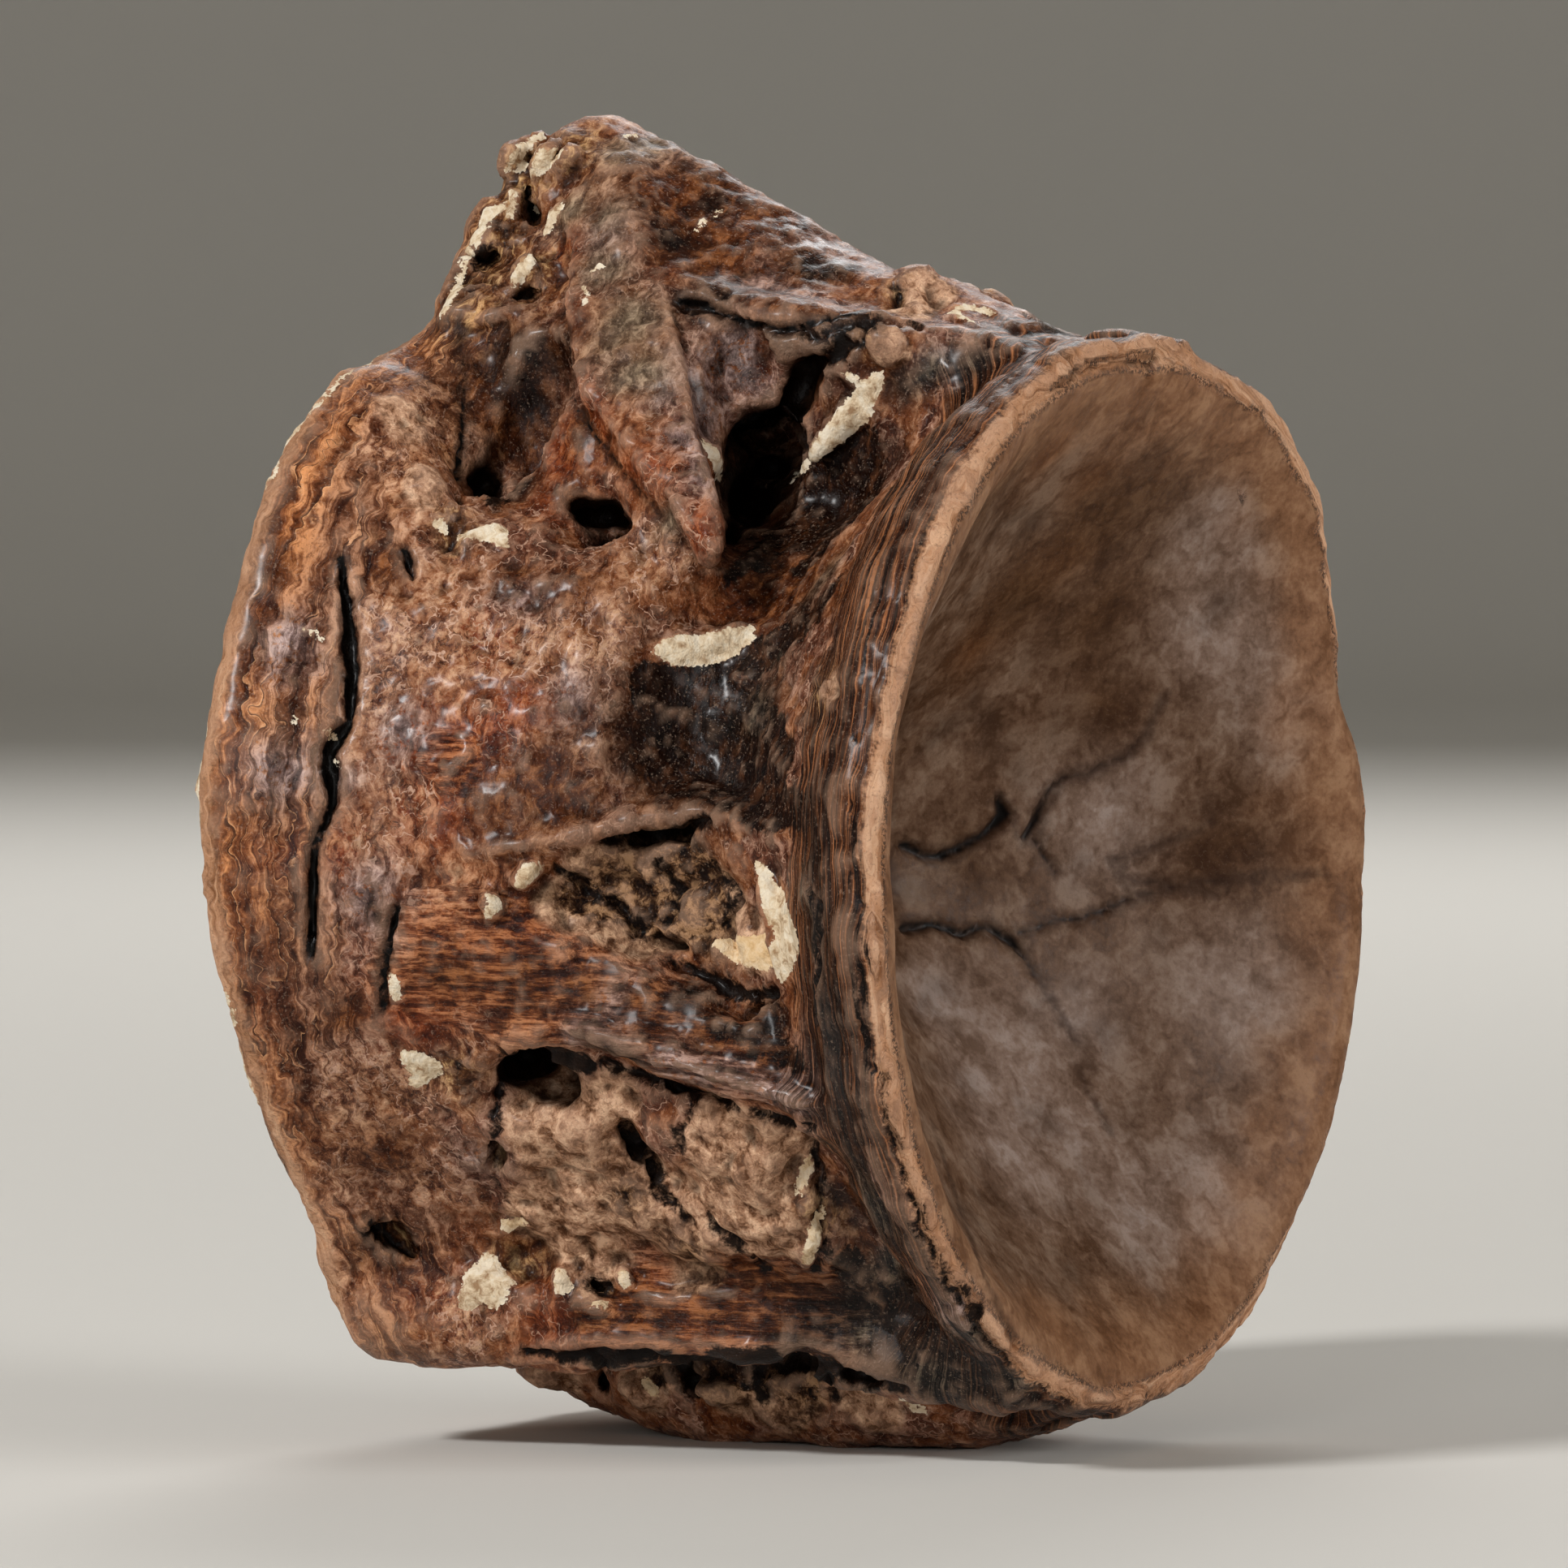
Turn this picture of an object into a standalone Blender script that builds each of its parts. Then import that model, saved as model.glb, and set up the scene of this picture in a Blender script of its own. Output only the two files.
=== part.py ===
"""A fossil fish vertebra: a spool-shaped centrum with two cupped ends, bony bars and filled
hollows round its waist, a worn keel that it stands on, and the broken stump of its neural arch.

The bone is modelled in millimetres about the middle of the centrum, with X along the spine, and
is set on its keel and brought to metres at the end. Angles round the centrum start at the top and
run towards the near side, which is -Y. The far side has the same forms, a little changed.
"""

import math

import bmesh
import bpy
import numpy as np
from mathutils import Matrix, Vector, noise

# Driving dimensions, in millimetres
RIM_RADIUS = 17.8
HALF_LENGTH = 12.8
MOUTH_RADIUS = 15.8
WAIST_RADIUS = 12.2
SEPTUM = 1.3
AXIS_HEIGHT = 19.7
CANAL_RADIUS = 2.2
FRONT_DROP = 0.045

# Wear of each rim, as (angle in degrees, how far it stands from a true circle)
REAR_RIM = [(0, 0.2), (22, 0.0), (50, 1.2), (68, 0.4), (82, 0.9), (105, 0.3), (132, -0.6), (141, 0.4)]
REAR_RIM += [(149, 1.3), (157, 0.5), (164, 0.1), (185, 0.3), (215, 0.4), (250, -0.1), (285, 0.4)]
REAR_RIM += [(320, -0.2)]
FRONT_RIM = [(0, 0.4), (40, 0.3), (90, 0.2), (150, 0.1), (190, 0.0), (212, -0.1), (248, -0.9)]
FRONT_RIM += [(268, -0.5), (291, -1.2), (312, 0.9), (328, 0.8), (344, 0.1)]

# Fineness of the clay, and of the finished facets
CLAY_VOXEL = 0.42
TURN_STEPS = 96
CROSS_STEPS = 4
TRIANGLES = 9000
TO_METRES = 0.001

BONE_COLOUR = (0.13, 0.06, 0.035, 1)
BONE_ROUGHNESS = 0.45


def around(x, angle, radius):
    """A point this far along the spine, at this angle from the top and distance from the axis."""
    turn = math.radians(angle)
    return (x, -radius * math.sin(turn), radius * math.cos(turn))


def far(points, lift=0.0):
    """The same points on the far side of the spine."""
    return [(x, -y, z + lift) for x, y, z in points]


def add_object(name, data, home=None):
    obj = bpy.data.objects.new(name, data)
    (home or bpy.context.scene.collection).objects.link(obj)
    return obj


def take_mesh(obj):
    """The object's evaluated mesh, closed and facing out; the object itself is removed."""
    bpy.context.view_layer.update()
    graph = bpy.context.evaluated_depsgraph_get()
    mesh = bpy.data.meshes.new_from_object(obj.evaluated_get(graph))
    mesh.transform(obj.matrix_world)
    bpy.data.objects.remove(obj)
    shape = bmesh.new()
    shape.from_mesh(mesh)
    bmesh.ops.remove_doubles(shape, verts=shape.verts, dist=1e-4)
    bmesh.ops.recalc_face_normals(shape, faces=shape.faces)
    shape.to_mesh(mesh)
    shape.free()
    return mesh


def turned(name, profile):
    """The profile, as (along the spine, radius) pairs, turned about the X axis."""
    mesh = bpy.data.meshes.new(name)
    points = [(x, 0, radius) for x, radius in profile]
    mesh.from_pydata(points, [(i, i + 1) for i in range(len(points) - 1)], [])
    obj = add_object(name, mesh)
    screw = obj.modifiers.new("turn", "SCREW")
    screw.axis = "X"
    screw.steps = screw.render_steps = TURN_STEPS
    screw.use_merge_vertices = True
    screw.merge_threshold = 0.0001
    return take_mesh(obj)


def strand(name, points, radii):
    """A round bar along a smooth line through these points, with its own radius at each."""
    curve = bpy.data.curves.new(name, "CURVE")
    curve.dimensions = "3D"
    curve.bevel_depth = 1
    curve.bevel_resolution = 4
    curve.resolution_u = 6
    curve.use_fill_caps = True
    spline = curve.splines.new("BEZIER")
    spline.bezier_points.add(len(points) - 1)
    for knot, point, radius in zip(spline.bezier_points, points, radii):
        knot.co = point
        knot.radius = radius
        knot.handle_left_type = knot.handle_right_type = "AUTO"
    return take_mesh(add_object(name, curve))


def lump(name, centre, radii, lean=(0, 0, 0)):
    """An ellipsoid, turned by the lean angles about X, Y and Z."""
    bpy.ops.mesh.primitive_uv_sphere_add(segments=32, ring_count=16, radius=1, location=centre)
    obj = bpy.context.active_object
    obj.name = name
    obj.scale = radii
    obj.rotation_euler = [math.radians(angle) for angle in lean]
    return take_mesh(obj)


def threaded(rows, closed):
    """Points on smooth lines through the rows of points, CROSS_STEPS to each span."""
    rows = np.asarray(rows, float)
    count = len(rows)
    spans = count if closed else count - 1
    out = []
    for i in range(spans):
        if closed:
            a, b, c, d = (rows[(i + k) % count] for k in (-1, 0, 1, 2))
        else:
            a, b, c, d = (rows[min(max(i + k, 0), count - 1)] for k in (-1, 0, 1, 2))
        for step in range(CROSS_STEPS):
            t = step / CROSS_STEPS
            pull = (c - a) + t * (2 * a - 5 * b + 4 * c - d) + t * t * (3 * (b - c) + d - a)
            out.append(b + 0.5 * t * pull)
    if not closed:
        out.append(rows[-1])
    return np.array(out)


def lofted(name, sections):
    """A rounded solid through closed sections that each have the same number of points."""
    fine = threaded([threaded(section, True) for section in sections], False)
    shape = bmesh.new()
    rings = [[shape.verts.new(point) for point in ring] for ring in fine]
    count = len(rings[0])
    for ring, after in zip(rings, rings[1:]):
        for i in range(count):
            k = (i + 1) % count
            shape.faces.new((ring[i], ring[k], after[k], after[i]))
    shape.faces.new(rings[0][::-1])
    shape.faces.new(rings[-1])
    mesh = bpy.data.meshes.new(name)
    shape.to_mesh(mesh)
    shape.free()
    return take_mesh(add_object(name, mesh))


def fused(name, meshes):
    """One closed skin round all these overlapping meshes."""
    shape = bmesh.new()
    for mesh in meshes:
        shape.from_mesh(mesh)
        bpy.data.meshes.remove(mesh)
    joined = bpy.data.meshes.new(name)
    shape.to_mesh(joined)
    shape.free()
    obj = add_object(name, joined)
    remesh = obj.modifiers.new("skin", "REMESH")
    remesh.mode = "VOXEL"
    remesh.voxel_size = CLAY_VOXEL
    return take_mesh(obj)


def centrum_spool():
    """The centrum as a solid spool; its ends are hollowed later."""
    edge = HALF_LENGTH
    rim = RIM_RADIUS
    return turned(
        "spool",
        [
            (edge, 0),
            (edge, rim - 0.9),
            (edge - 0.5, rim),
            (edge - 1.3, rim - 0.1),
            (edge - 2.6, rim - 1.0),
            (8.3, rim - 2.6),
            (6.2, rim - 4.2),
            (4.4, WAIST_RADIUS + 0.2),
            (2.8, WAIST_RADIUS),
            (1.4, WAIST_RADIUS + 0.8),
            (0.2, WAIST_RADIUS + 2.0),
            (-2.0, rim - 2.8),
            (-5.5, rim - 2.3),
            (-8.8, rim - 1.4),
            (-edge + 1.5, rim - 0.2),
            (-edge + 0.4, rim),
            (-edge, rim - 0.7),
            (-edge, 0),
        ],
    )


def end_cups():
    """The conical hollows of the two ends, which nearly meet at the middle."""
    cup = [
        (SEPTUM, 0),
        (SEPTUM + 0.5, 1.5),
        (4.4, 5.6),
        (8.2, 10.6),
        (11.0, 14.1),
        (HALF_LENGTH - 0.4, MOUTH_RADIUS + 0.2),
        (HALF_LENGTH + 0.1, MOUTH_RADIUS + 1.0),
        (HALF_LENGTH + 1.5, MOUTH_RADIUS + 1.5),
        (HALF_LENGTH + 1.5, 0),
    ]
    front = turned("front_cup", cup)
    rear = turned("rear_cup", [(-x, radius) for x, radius in reversed(cup)])
    return [front, rear]


# The bars between the rims on the near side, as (points, radii)
WAIST_RIDGE = (
    [around(-1.6, 82, 13.6), around(2, 84, 12.6), around(6.5, 87, 13.6)],
    [1.1, 1.0, 1.0],
)
MIDDLE_BAR = (
    [
        around(-10, 98, 13.6),
        around(-6, 101, 13.2),
        around(-1, 106, 13.5),
        around(4, 111, 13.8),
        around(9.5, 118, 14.6),
    ],
    [2.9, 2.8, 2.3, 1.8, 1.6],
)
MIDDLE_LEDGE = (
    [around(-5, 108, 14.4), around(-1, 110.5, 15.1), around(4, 114, 15.2), around(9, 119.5, 15.6)],
    [1.3, 1.0, 0.9, 0.9],
)
LOWER_BAR = (
    [
        (-11.6, -8.8, -14.6),
        (-5, -7.6, -15.4),
        (1, -7.2, -15.2),
        (6, -6.6, -15.3),
        (11.4, -5.6, -16.2),
    ],
    [2.0, 2.0, 1.8, 1.8, 1.8],
)
BARS = {
    "waist_ridge": WAIST_RIDGE,
    "middle_bar": MIDDLE_BAR,
    "middle_ledge": MIDDLE_LEDGE,
    "lower_bar": LOWER_BAR,
}


def side_bars():
    bars = []
    for name, (points, radii) in BARS.items():
        bars.append(strand(f"near_{name}", points, radii))
        bars.append(strand(f"far_{name}", far(points, lift=0.4), [0.95 * radius for radius in radii]))
    return bars


def matrix_fill():
    """The stone that partly fills the hollows, as broad mounds lower than the bars round them."""
    upper_mound = [
        around(-7.6, 125, 14.0),
        around(-3.6, 127, 13.2),
        around(0.6, 127, 12.8),
        around(6.2, 129, 13.6),
    ]
    lower_mound = [
        around(-6.6, 140, 14.0),
        around(-1.6, 141, 13.5),
        around(2.2, 141, 13.6),
        around(7.0, 139, 14.2),
    ]
    web = [around(-8, 151, 14.4), around(-3, 152, 14.0), around(2, 152, 13.9), around(8, 150, 14.4)]
    long_mound = [
        around(-0.6, 94, 12.0),
        around(2.4, 96, 11.8),
        around(5.2, 98, 12.0),
        around(7.6, 101, 12.8),
    ]
    mounds = {
        "upper_mound": (upper_mound, [1.8, 2.6, 2.7, 2.5]),
        "lower_mound": (lower_mound, [1.8, 2.4, 2.5, 2.1]),
        "web": (web, [2.0, 2.2, 2.2, 1.9]),
        "long_mound": (long_mound, [1.0, 1.6, 1.9, 1.6]),
    }
    fill = []
    for name, (points, radii) in mounds.items():
        fill.append(strand(f"near_{name}", points, radii))
        fill.append(strand(f"far_{name}", far(points), radii))
    return fill


def clefts():
    """Gaps that the stone leaves under the ledge and between its mounds."""
    cavern = [around(-4.6, 119, 16.6), around(-2.8, 119.5, 14.6), around(-1.6, 120, 12.8)]
    split = [around(-0.6, 123, 15.4), around(0.7, 130, 15.2), around(1.8, 137, 15.4)]
    pocket = [around(-7.9, 140, 17.6), around(-5.6, 143, 16.6)]
    lines = {
        "cavern": (cavern, [1.2, 1.4, 1.1]),
        "split": (split, [0.8, 0.9, 0.6]),
        "pocket": (pocket, [0.9, 0.8]),
    }
    cuts = []
    for name, (points, radii) in lines.items():
        cuts.append(strand(f"near_{name}", points, radii))
        cuts.append(strand(f"far_{name}", far(points), radii))
    return cuts


def keel():
    """Two worn ridges side by side along the underside, joined in the middle."""
    line = [
        (-11.6, 0.4, -15.8),
        (-8.4, 0.5, -16.4),
        (-4.6, 0.6, -16.9),
        (0.5, 0.6, -16.9),
        (5.4, 0.5, -16.8),
        (8.4, 0.4, -16.2),
        (11.2, 0.2, -15.6),
    ]
    radii = [1.9, 2.4, 3.1, 3.2, 3.1, 2.6, 2.0]
    near_ridge = strand("near_keel", [(x, y - 1.8, z) for x, y, z in line], radii)
    far_ridge = strand("far_keel", [(x, y + 2.0, z) for x, y, z in line], radii)
    middle = strand("mid_keel", line, radii)
    return [near_ridge, far_ridge, middle]


def neural_arch():
    """The arch as a steep tent over the canal, with its thicker ridges laid on it."""
    # Half sections of the tent on the near side: foot, low wall, high wall, crest
    half_sections = [
        (-12.4, (-5.2, 15.2), (-4.2, 16.6), (-2.6, 17.5), (0.0, 17.8)),
        (-11.3, (-6.4, 14.4), (-4.8, 17.0), (-2.8, 19.0), (0.0, 19.9)),
        (-10.0, (-7.8, 13.0), (-5.8, 17.0), (-3.0, 20.8), (0.1, 22.8)),
        (-8.4, (-8.8, 12.0), (-6.5, 16.8), (-2.9, 21.8), (0.2, 24.7)),
        (-6.6, (-9.4, 11.2), (-7.0, 16.0), (-3.2, 21.2), (0.3, 24.4)),
        (-3.8, (-9.9, 10.6), (-7.3, 15.2), (-4.0, 19.6), (0.4, 23.0)),
        (-1.0, (-9.4, 10.2), (-7.2, 14.2), (-4.7, 18.3), (0.4, 21.6)),
        (0.8, (-6.0, 12.0), (-5.4, 14.8), (-4.8, 17.6), (0.4, 20.6)),
        (3.4, (-4.4, 12.2), (-4.6, 14.6), (-4.5, 17.0), (0.3, 19.5)),
        (6.4, (-4.6, 13.0), (-4.6, 15.0), (-4.1, 16.9), (0.2, 19.0)),
        (9.4, (-5.6, 14.4), (-4.8, 15.8), (-3.2, 17.0), (0.0, 17.9)),
    ]
    sections = []
    for x, foot, low, high, crest in half_sections:
        near_side = [foot, low, high, crest]
        far_side = [(-y, z) for y, z in (high, low, foot)]
        floor = [(4.0, 9.4), (-4.0, 9.4)]
        sections.append([(x, y, z) for y, z in near_side + far_side + floor])
    pedicle = [
        (-6.0, -1.6, 22.4),
        (-4.4, -3.9, 19.2),
        (-2.9, -6.0, 15.8),
        (-0.8, -8.0, 12.8),
        (1.6, -9.6, 10.0),
    ]
    rear_edge = [
        (-9.6, -1.2, 22.6),
        (-10.4, -3.2, 19.8),
        (-10.2, -5.4, 16.8),
        (-9.4, -7.2, 14.0),
        (-8.6, -8.4, 12.0),
    ]
    brow = [
        (-2.6, -4.2, 18.8),
        (0.6, -4.6, 17.9),
        (3.6, -4.2, 17.3),
        (6.4, -3.8, 17.0),
        (9.4, -3.0, 16.8),
    ]
    broken_edge = [
        (-8.6, -1.0, 23.6),
        (-9.5, -1.2, 22.9),
        (-9.9, -1.2, 21.8),
        (-10.6, -1.8, 20.0),
        (-11.2, -2.6, 18.2),
    ]
    ridges = {
        "pedicle": (pedicle, [1.2, 1.6, 1.8, 1.6, 1.2]),
        "rear_edge": (rear_edge, [0.8, 0.9, 0.9, 0.8, 0.6]),
        "brow": (brow, [0.9, 1.1, 1.1, 1.1, 0.9]),
    }
    pieces = [
        lofted("tent", sections),
        lump("roof_knob", (4.6, -0.6, 19.2), (1.0, 0.9, 0.8)),
        strand("broken_edge", broken_edge, [0.8, 0.9, 0.9, 1.0, 0.9]),
    ]
    for name, (points, radii) in ridges.items():
        pieces.append(strand(f"near_{name}", points, radii))
        pieces.append(strand(f"far_{name}", far(points), radii))
    return pieces


def hollows():
    """Everything carved out of the clay."""
    long_pit = [
        around(-2.6, 91.5, 15.5),
        around(0.4, 93, 14.6),
        around(3.6, 96, 14.2),
        around(6.9, 100, 14.5),
    ]
    long_radii = [0.6, 1.4, 2.2, 2.2]
    deep_pit = [
        around(-4.6, 130, 16.6),
        around(-1.0, 129, 15.8),
        around(2.4, 131, 15.6),
        around(5.2, 134, 15.9),
    ]
    deep_radii = [2.2, 3.2, 3.5, 2.9]
    fossa = [(-9.0, -6.4, 17.8), (-7.9, -8.6, 15.2), (-6.0, -10.2, 13.2), (-3.2, -10.9, 12.0)]
    fossa_radii = [1.2, 2.2, 2.3, 1.4]
    slot = [(2.0, -5.8, 16.2), (2.0, -6.6, 14.2), (2.3, -8.0, 12.2), (2.9, -9.8, 10.6)]
    waist = [around(2.4, 66, 14.4), around(3.6, 73, 13.9), around(4.0, 80, 14.0)]
    return [
        strand("near_long_pit", long_pit, long_radii),
        strand("far_long_pit", far(long_pit), long_radii),
        strand("near_deep_pit", deep_pit, deep_radii),
        strand("far_deep_pit", far(deep_pit), deep_radii),
        strand(
            "canal",
            [(-8.5, 0.4, 16.0), (-3, 0.4, 15.0), (3, 0.5, 14.6), (7.6, 0.6, 14.8)],
            [1.2, CANAL_RADIUS, CANAL_RADIUS, 1.2],
        ),
        strand("near_waist", waist, [1.9, 2.4, 1.6]),
        strand("far_waist", far(waist), [1.9, 2.3, 1.6]),
        strand("near_slot", slot, [2.0, 1.8, 1.4, 0.7]),
        strand("near_passage", [(3.0, -8.0, 13.1), (0.8, -4.4, 13.3), (-0.6, -1.6, 14.0)], [1.3, 1.5, 1.8]),
        strand("near_sill", [(2.6, -10.2, 10.4), (1.4, -7.2, 11.4), (0.2, -3.6, 13.0)], [0.8, 1.2, 1.6]),
        strand("far_slot", far(slot), [1.5, 1.6, 1.2, 0.5]),
        strand("far_passage", [(4.2, 8.4, 14.2), (4.2, 5, 14.6), (3.2, 1, 14.6)], [1.2, 1.5, 2.0]),
        strand("near_fossa", fossa, fossa_radii),
        strand("far_fossa", far(fossa), fossa_radii),
        strand("near_vessel", [(-2.6, -11.4, 12.0), (-2.2, -7.2, 9.6)], [1.2, 0.8]),
        strand("rear_vessel", [(-8.2, -10.0, 13.2), (-7.4, -6.4, 10.6)], [0.9, 0.7]),
        lump("near_keel_pit", (-0.6, -6.0, -18.4), (8.4, 2.2, 1.8), (-40, 0, 0)),
        lump("far_keel_pit", (0.2, 6.2, -18.3), (8.0, 2.0, 1.7), (40, 0, 0)),
        *end_cups(),
    ]


def carved(clay, name, shapes, home):
    """The clay with these shapes cut out of it; their joined form stays as a cutter."""
    cutter = add_object(name, fused(name, shapes), home)
    cutter.hide_render = True
    cutter.display_type = "WIRE"
    body = add_object("clay", clay)
    cut = body.modifiers.new("carve", "BOOLEAN")
    cut.operation = "DIFFERENCE"
    cut.solver = "EXACT"
    cut.object = cutter
    return take_mesh(body)


def offset_at(table, angles):
    """The rim's offset at each angle, read smoothly round the circle."""
    fine = np.arange(0, 360, 2.0)
    level = np.interp(fine, [angle for angle, _ in table], [offset for _, offset in table], period=360)
    reach = np.arange(-10, 11)
    blur = np.exp(-0.5 * (reach / 1.6) ** 2)
    wrapped = np.concatenate([level[-10:], level, level[:10]])
    level = np.convolve(wrapped, blur / blur.sum(), "valid")
    return np.interp(angles, fine, level, period=360)


def wear(mesh):
    """Wears the rims off true and gives the even clay the unevenness of old bone."""
    place = np.empty(len(mesh.vertices) * 3)
    mesh.vertices.foreach_get("co", place)
    place = place.reshape(-1, 3)
    radius = np.hypot(place[:, 1], place[:, 2])
    angle = np.degrees(np.arctan2(-place[:, 1], place[:, 2])) % 360
    share = np.clip((np.abs(place[:, 0]) - 3) / (HALF_LENGTH - 3), 0, 1)
    share = share * share * (3 - 2 * share) * np.clip(radius / RIM_RADIUS, 0, 1)
    share *= np.clip((RIM_RADIUS + 3.5 - radius) / 2.0, 0, 1)
    offset = np.where(place[:, 0] > 0, offset_at(FRONT_RIM, angle), offset_at(REAR_RIM, angle))
    place[:, 1:] *= (1 + offset * share / np.maximum(radius, 1))[:, None]
    for vertex, spot, normal in zip(mesh.vertices, place, [v.normal.copy() for v in mesh.vertices]):
        spot = Vector(spot)
        swell = noise.noise(spot * 0.16) * 0.3 + noise.noise(spot * 0.42) * 0.16
        vertex.co = spot + normal * swell


def softened(mesh):
    """Rounds off the steps that the clay's grid leaves."""
    obj = add_object("soft", mesh)
    smooth = obj.modifiers.new("smooth", "SMOOTH")
    smooth.factor = 0.5
    smooth.iterations = 4
    return take_mesh(obj)


def faceted(mesh):
    obj = add_object("facets", mesh)
    facets = obj.modifiers.new("facets", "DECIMATE")
    facets.ratio = TRIANGLES / (2 * len(mesh.polygons))
    return take_mesh(obj)


def stand_on_keel(mesh):
    """Sets the bone at its height, lets its front end drop a little, and wears the keel flat."""
    drop = Matrix.Identity(4)
    drop[2][0] = -FRONT_DROP
    mesh.transform(Matrix.Translation((0, 0, AXIS_HEIGHT)) @ drop)
    shape = bmesh.new()
    shape.from_mesh(mesh)
    everything = list(shape.verts) + list(shape.edges) + list(shape.faces)
    bmesh.ops.bisect_plane(
        shape, geom=everything, dist=1e-4, plane_co=(0, 0, 0), plane_no=(0, 0, 1), clear_inner=True
    )
    open_edges = [edge for edge in shape.edges if edge.is_boundary]
    sole = bmesh.ops.edgeloop_fill(shape, edges=open_edges)["faces"]
    bmesh.ops.triangulate(shape, faces=sole)
    bmesh.ops.recalc_face_normals(shape, faces=shape.faces)
    shape.to_mesh(mesh)
    shape.free()


def centred(mesh):
    """Puts the middle of the bone's length and width over the origin."""
    corners = np.array([vertex.co for vertex in mesh.vertices])
    middle = (corners.min(axis=0) + corners.max(axis=0)) / 2
    mesh.transform(Matrix.Translation((-middle[0], -middle[1], 0)))


def bone_material():
    material = bpy.data.materials.new("fossil_bone")
    material.use_nodes = True
    shader = material.node_tree.nodes["Principled BSDF"]
    shader.inputs["Base Color"].default_value = BONE_COLOUR
    shader.inputs["Roughness"].default_value = BONE_ROUGHNESS
    shader.inputs["Metallic"].default_value = 0
    return material


def main():
    for obj in list(bpy.data.objects):
        bpy.data.objects.remove(obj)
    home = bpy.data.collections.new("fossil_vertebra")
    cutters = bpy.data.collections.new("cutters")
    for collection in (home, cutters):
        bpy.context.scene.collection.children.link(collection)

    clay = fused("clay", [centrum_spool(), *side_bars(), *keel(), *neural_arch()])
    clay = carved(clay, "hollows", hollows(), cutters)
    clay = fused("clay", [clay, *matrix_fill()])
    bone_mesh = fused("vertebra", [carved(clay, "clefts", clefts(), cutters)])

    wear(bone_mesh)
    bone_mesh = faceted(softened(bone_mesh))
    stand_on_keel(bone_mesh)
    centred(bone_mesh)
    bone_mesh.transform(Matrix.Scale(TO_METRES, 4))
    bone = add_object("vertebra", bone_mesh, home)
    bone.data.materials.append(bone_material())
    bone.data.shade_smooth()


main()
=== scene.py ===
"""The looks of a fossil fish vertebra: worn and cracked bone, with chalk and stone in it."""

import functools
import itertools
import math

import bpy
import numpy as np
from mathutils import Matrix, Vector
from mathutils.bvhtree import BVHTree


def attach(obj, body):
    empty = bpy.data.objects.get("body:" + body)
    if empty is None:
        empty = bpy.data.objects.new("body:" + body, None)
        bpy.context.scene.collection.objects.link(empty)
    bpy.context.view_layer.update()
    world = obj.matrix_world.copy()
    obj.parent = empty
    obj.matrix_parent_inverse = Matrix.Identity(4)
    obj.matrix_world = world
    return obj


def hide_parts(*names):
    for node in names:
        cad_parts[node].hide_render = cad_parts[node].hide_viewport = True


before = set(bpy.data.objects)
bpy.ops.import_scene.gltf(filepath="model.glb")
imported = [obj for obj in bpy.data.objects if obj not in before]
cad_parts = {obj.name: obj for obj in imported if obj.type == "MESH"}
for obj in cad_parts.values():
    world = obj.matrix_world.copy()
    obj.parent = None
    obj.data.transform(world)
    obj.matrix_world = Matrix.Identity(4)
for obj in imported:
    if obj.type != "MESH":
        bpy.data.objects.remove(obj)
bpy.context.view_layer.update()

# Forms and marks are worked out in millimetres, and meshes hold metres
MM = 0.001

# The photographed side: the camera's place, and the pixels of its square frame
PIXELS = 1932
PIXELS_PER_MM = 36.7
VIEW_AZIMUTH = 30.0
VIEW_ELEVATION = 2.0
VIEW_DISTANCE = 400.0
AIM_OFFSET = -0.63
AIM_HEIGHT = 22.0

# The spine's axis: its height over the sole, and its fall towards the front
AXIS_HEIGHT = 19.7
FRONT_DROP = 0.045

# The fineness of the bone's mesh
COARSE_VOXEL = 0.3
FINE_VOXEL = 0.2
BONE_TRIANGLES = 194000

# The turn round the axis of the near side's marks, in degrees, where the far side repeats them
FAR_TURN = 9.0

# Rays that find sheltered places, and how far they look in millimetres
SHELTER_RAYS = 22
SHELTER_REACH = 4.0
GOLDEN_ANGLE = math.pi * (3 - math.sqrt(5))

# The cup's radius at each of these distances from the middle
CUP_STATIONS = [0.6, 1.1, 4.4, 8.2, 11.0, 12.4, 13.5]
CUP_PROFILE = [0.0, 1.5, 5.6, 10.6, 14.1, 16.0, 17.0]

# The rim's crest is looked for in this many turns round it, at least so far along and out
RIM_TURNS = 120
RIM_ALONG = 8.0
RIM_OUT = 13.0

# How far round each dab, crack and gap the mesh and the finish still need to know of it
RELIEF_REACH = 0.6
FINISH_REACH = 1.0

# The lie of the splinters in the picture, in degrees, and how much they are drawn out along it
SPLINTER_TURN = 58.0
SPLINTER_STRETCH = 0.6

# How far a cup's noise reaches from its dark tone to its middle one
CUP_REACH = 0.16

# How far the darks and lights of the bone are drawn apart, the tone that stays, and the tint
CONTRAST = 1.42
MIDDLE = 0.17
WARMTH = (1.0, 0.925, 0.74)

# The studio in metres: the floor, the steps in which its edge curves up, and the wall above it
FLOOR_RADIUS = 0.9
EDGE_STEPS = 8
EDGE_STEP = 0.075
WALL_HEIGHT = 0.8

# Round soft lights: azimuth and elevation in degrees, distance and size in metres, power in
# watts and how much of a highlight each gives
LIGHTS = {
    "key": (-20, 38, 0.6, 0.1, 2.3, 1.0),
    "front": (15, 10, 0.6, 0.3, 0.6, 1.0),
    "fill": (95, 16, 0.6, 0.3, 2.0, 1.0),
    "back": (205, 35, 0.6, 0.3, 1.3, 0.0),
}

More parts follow.
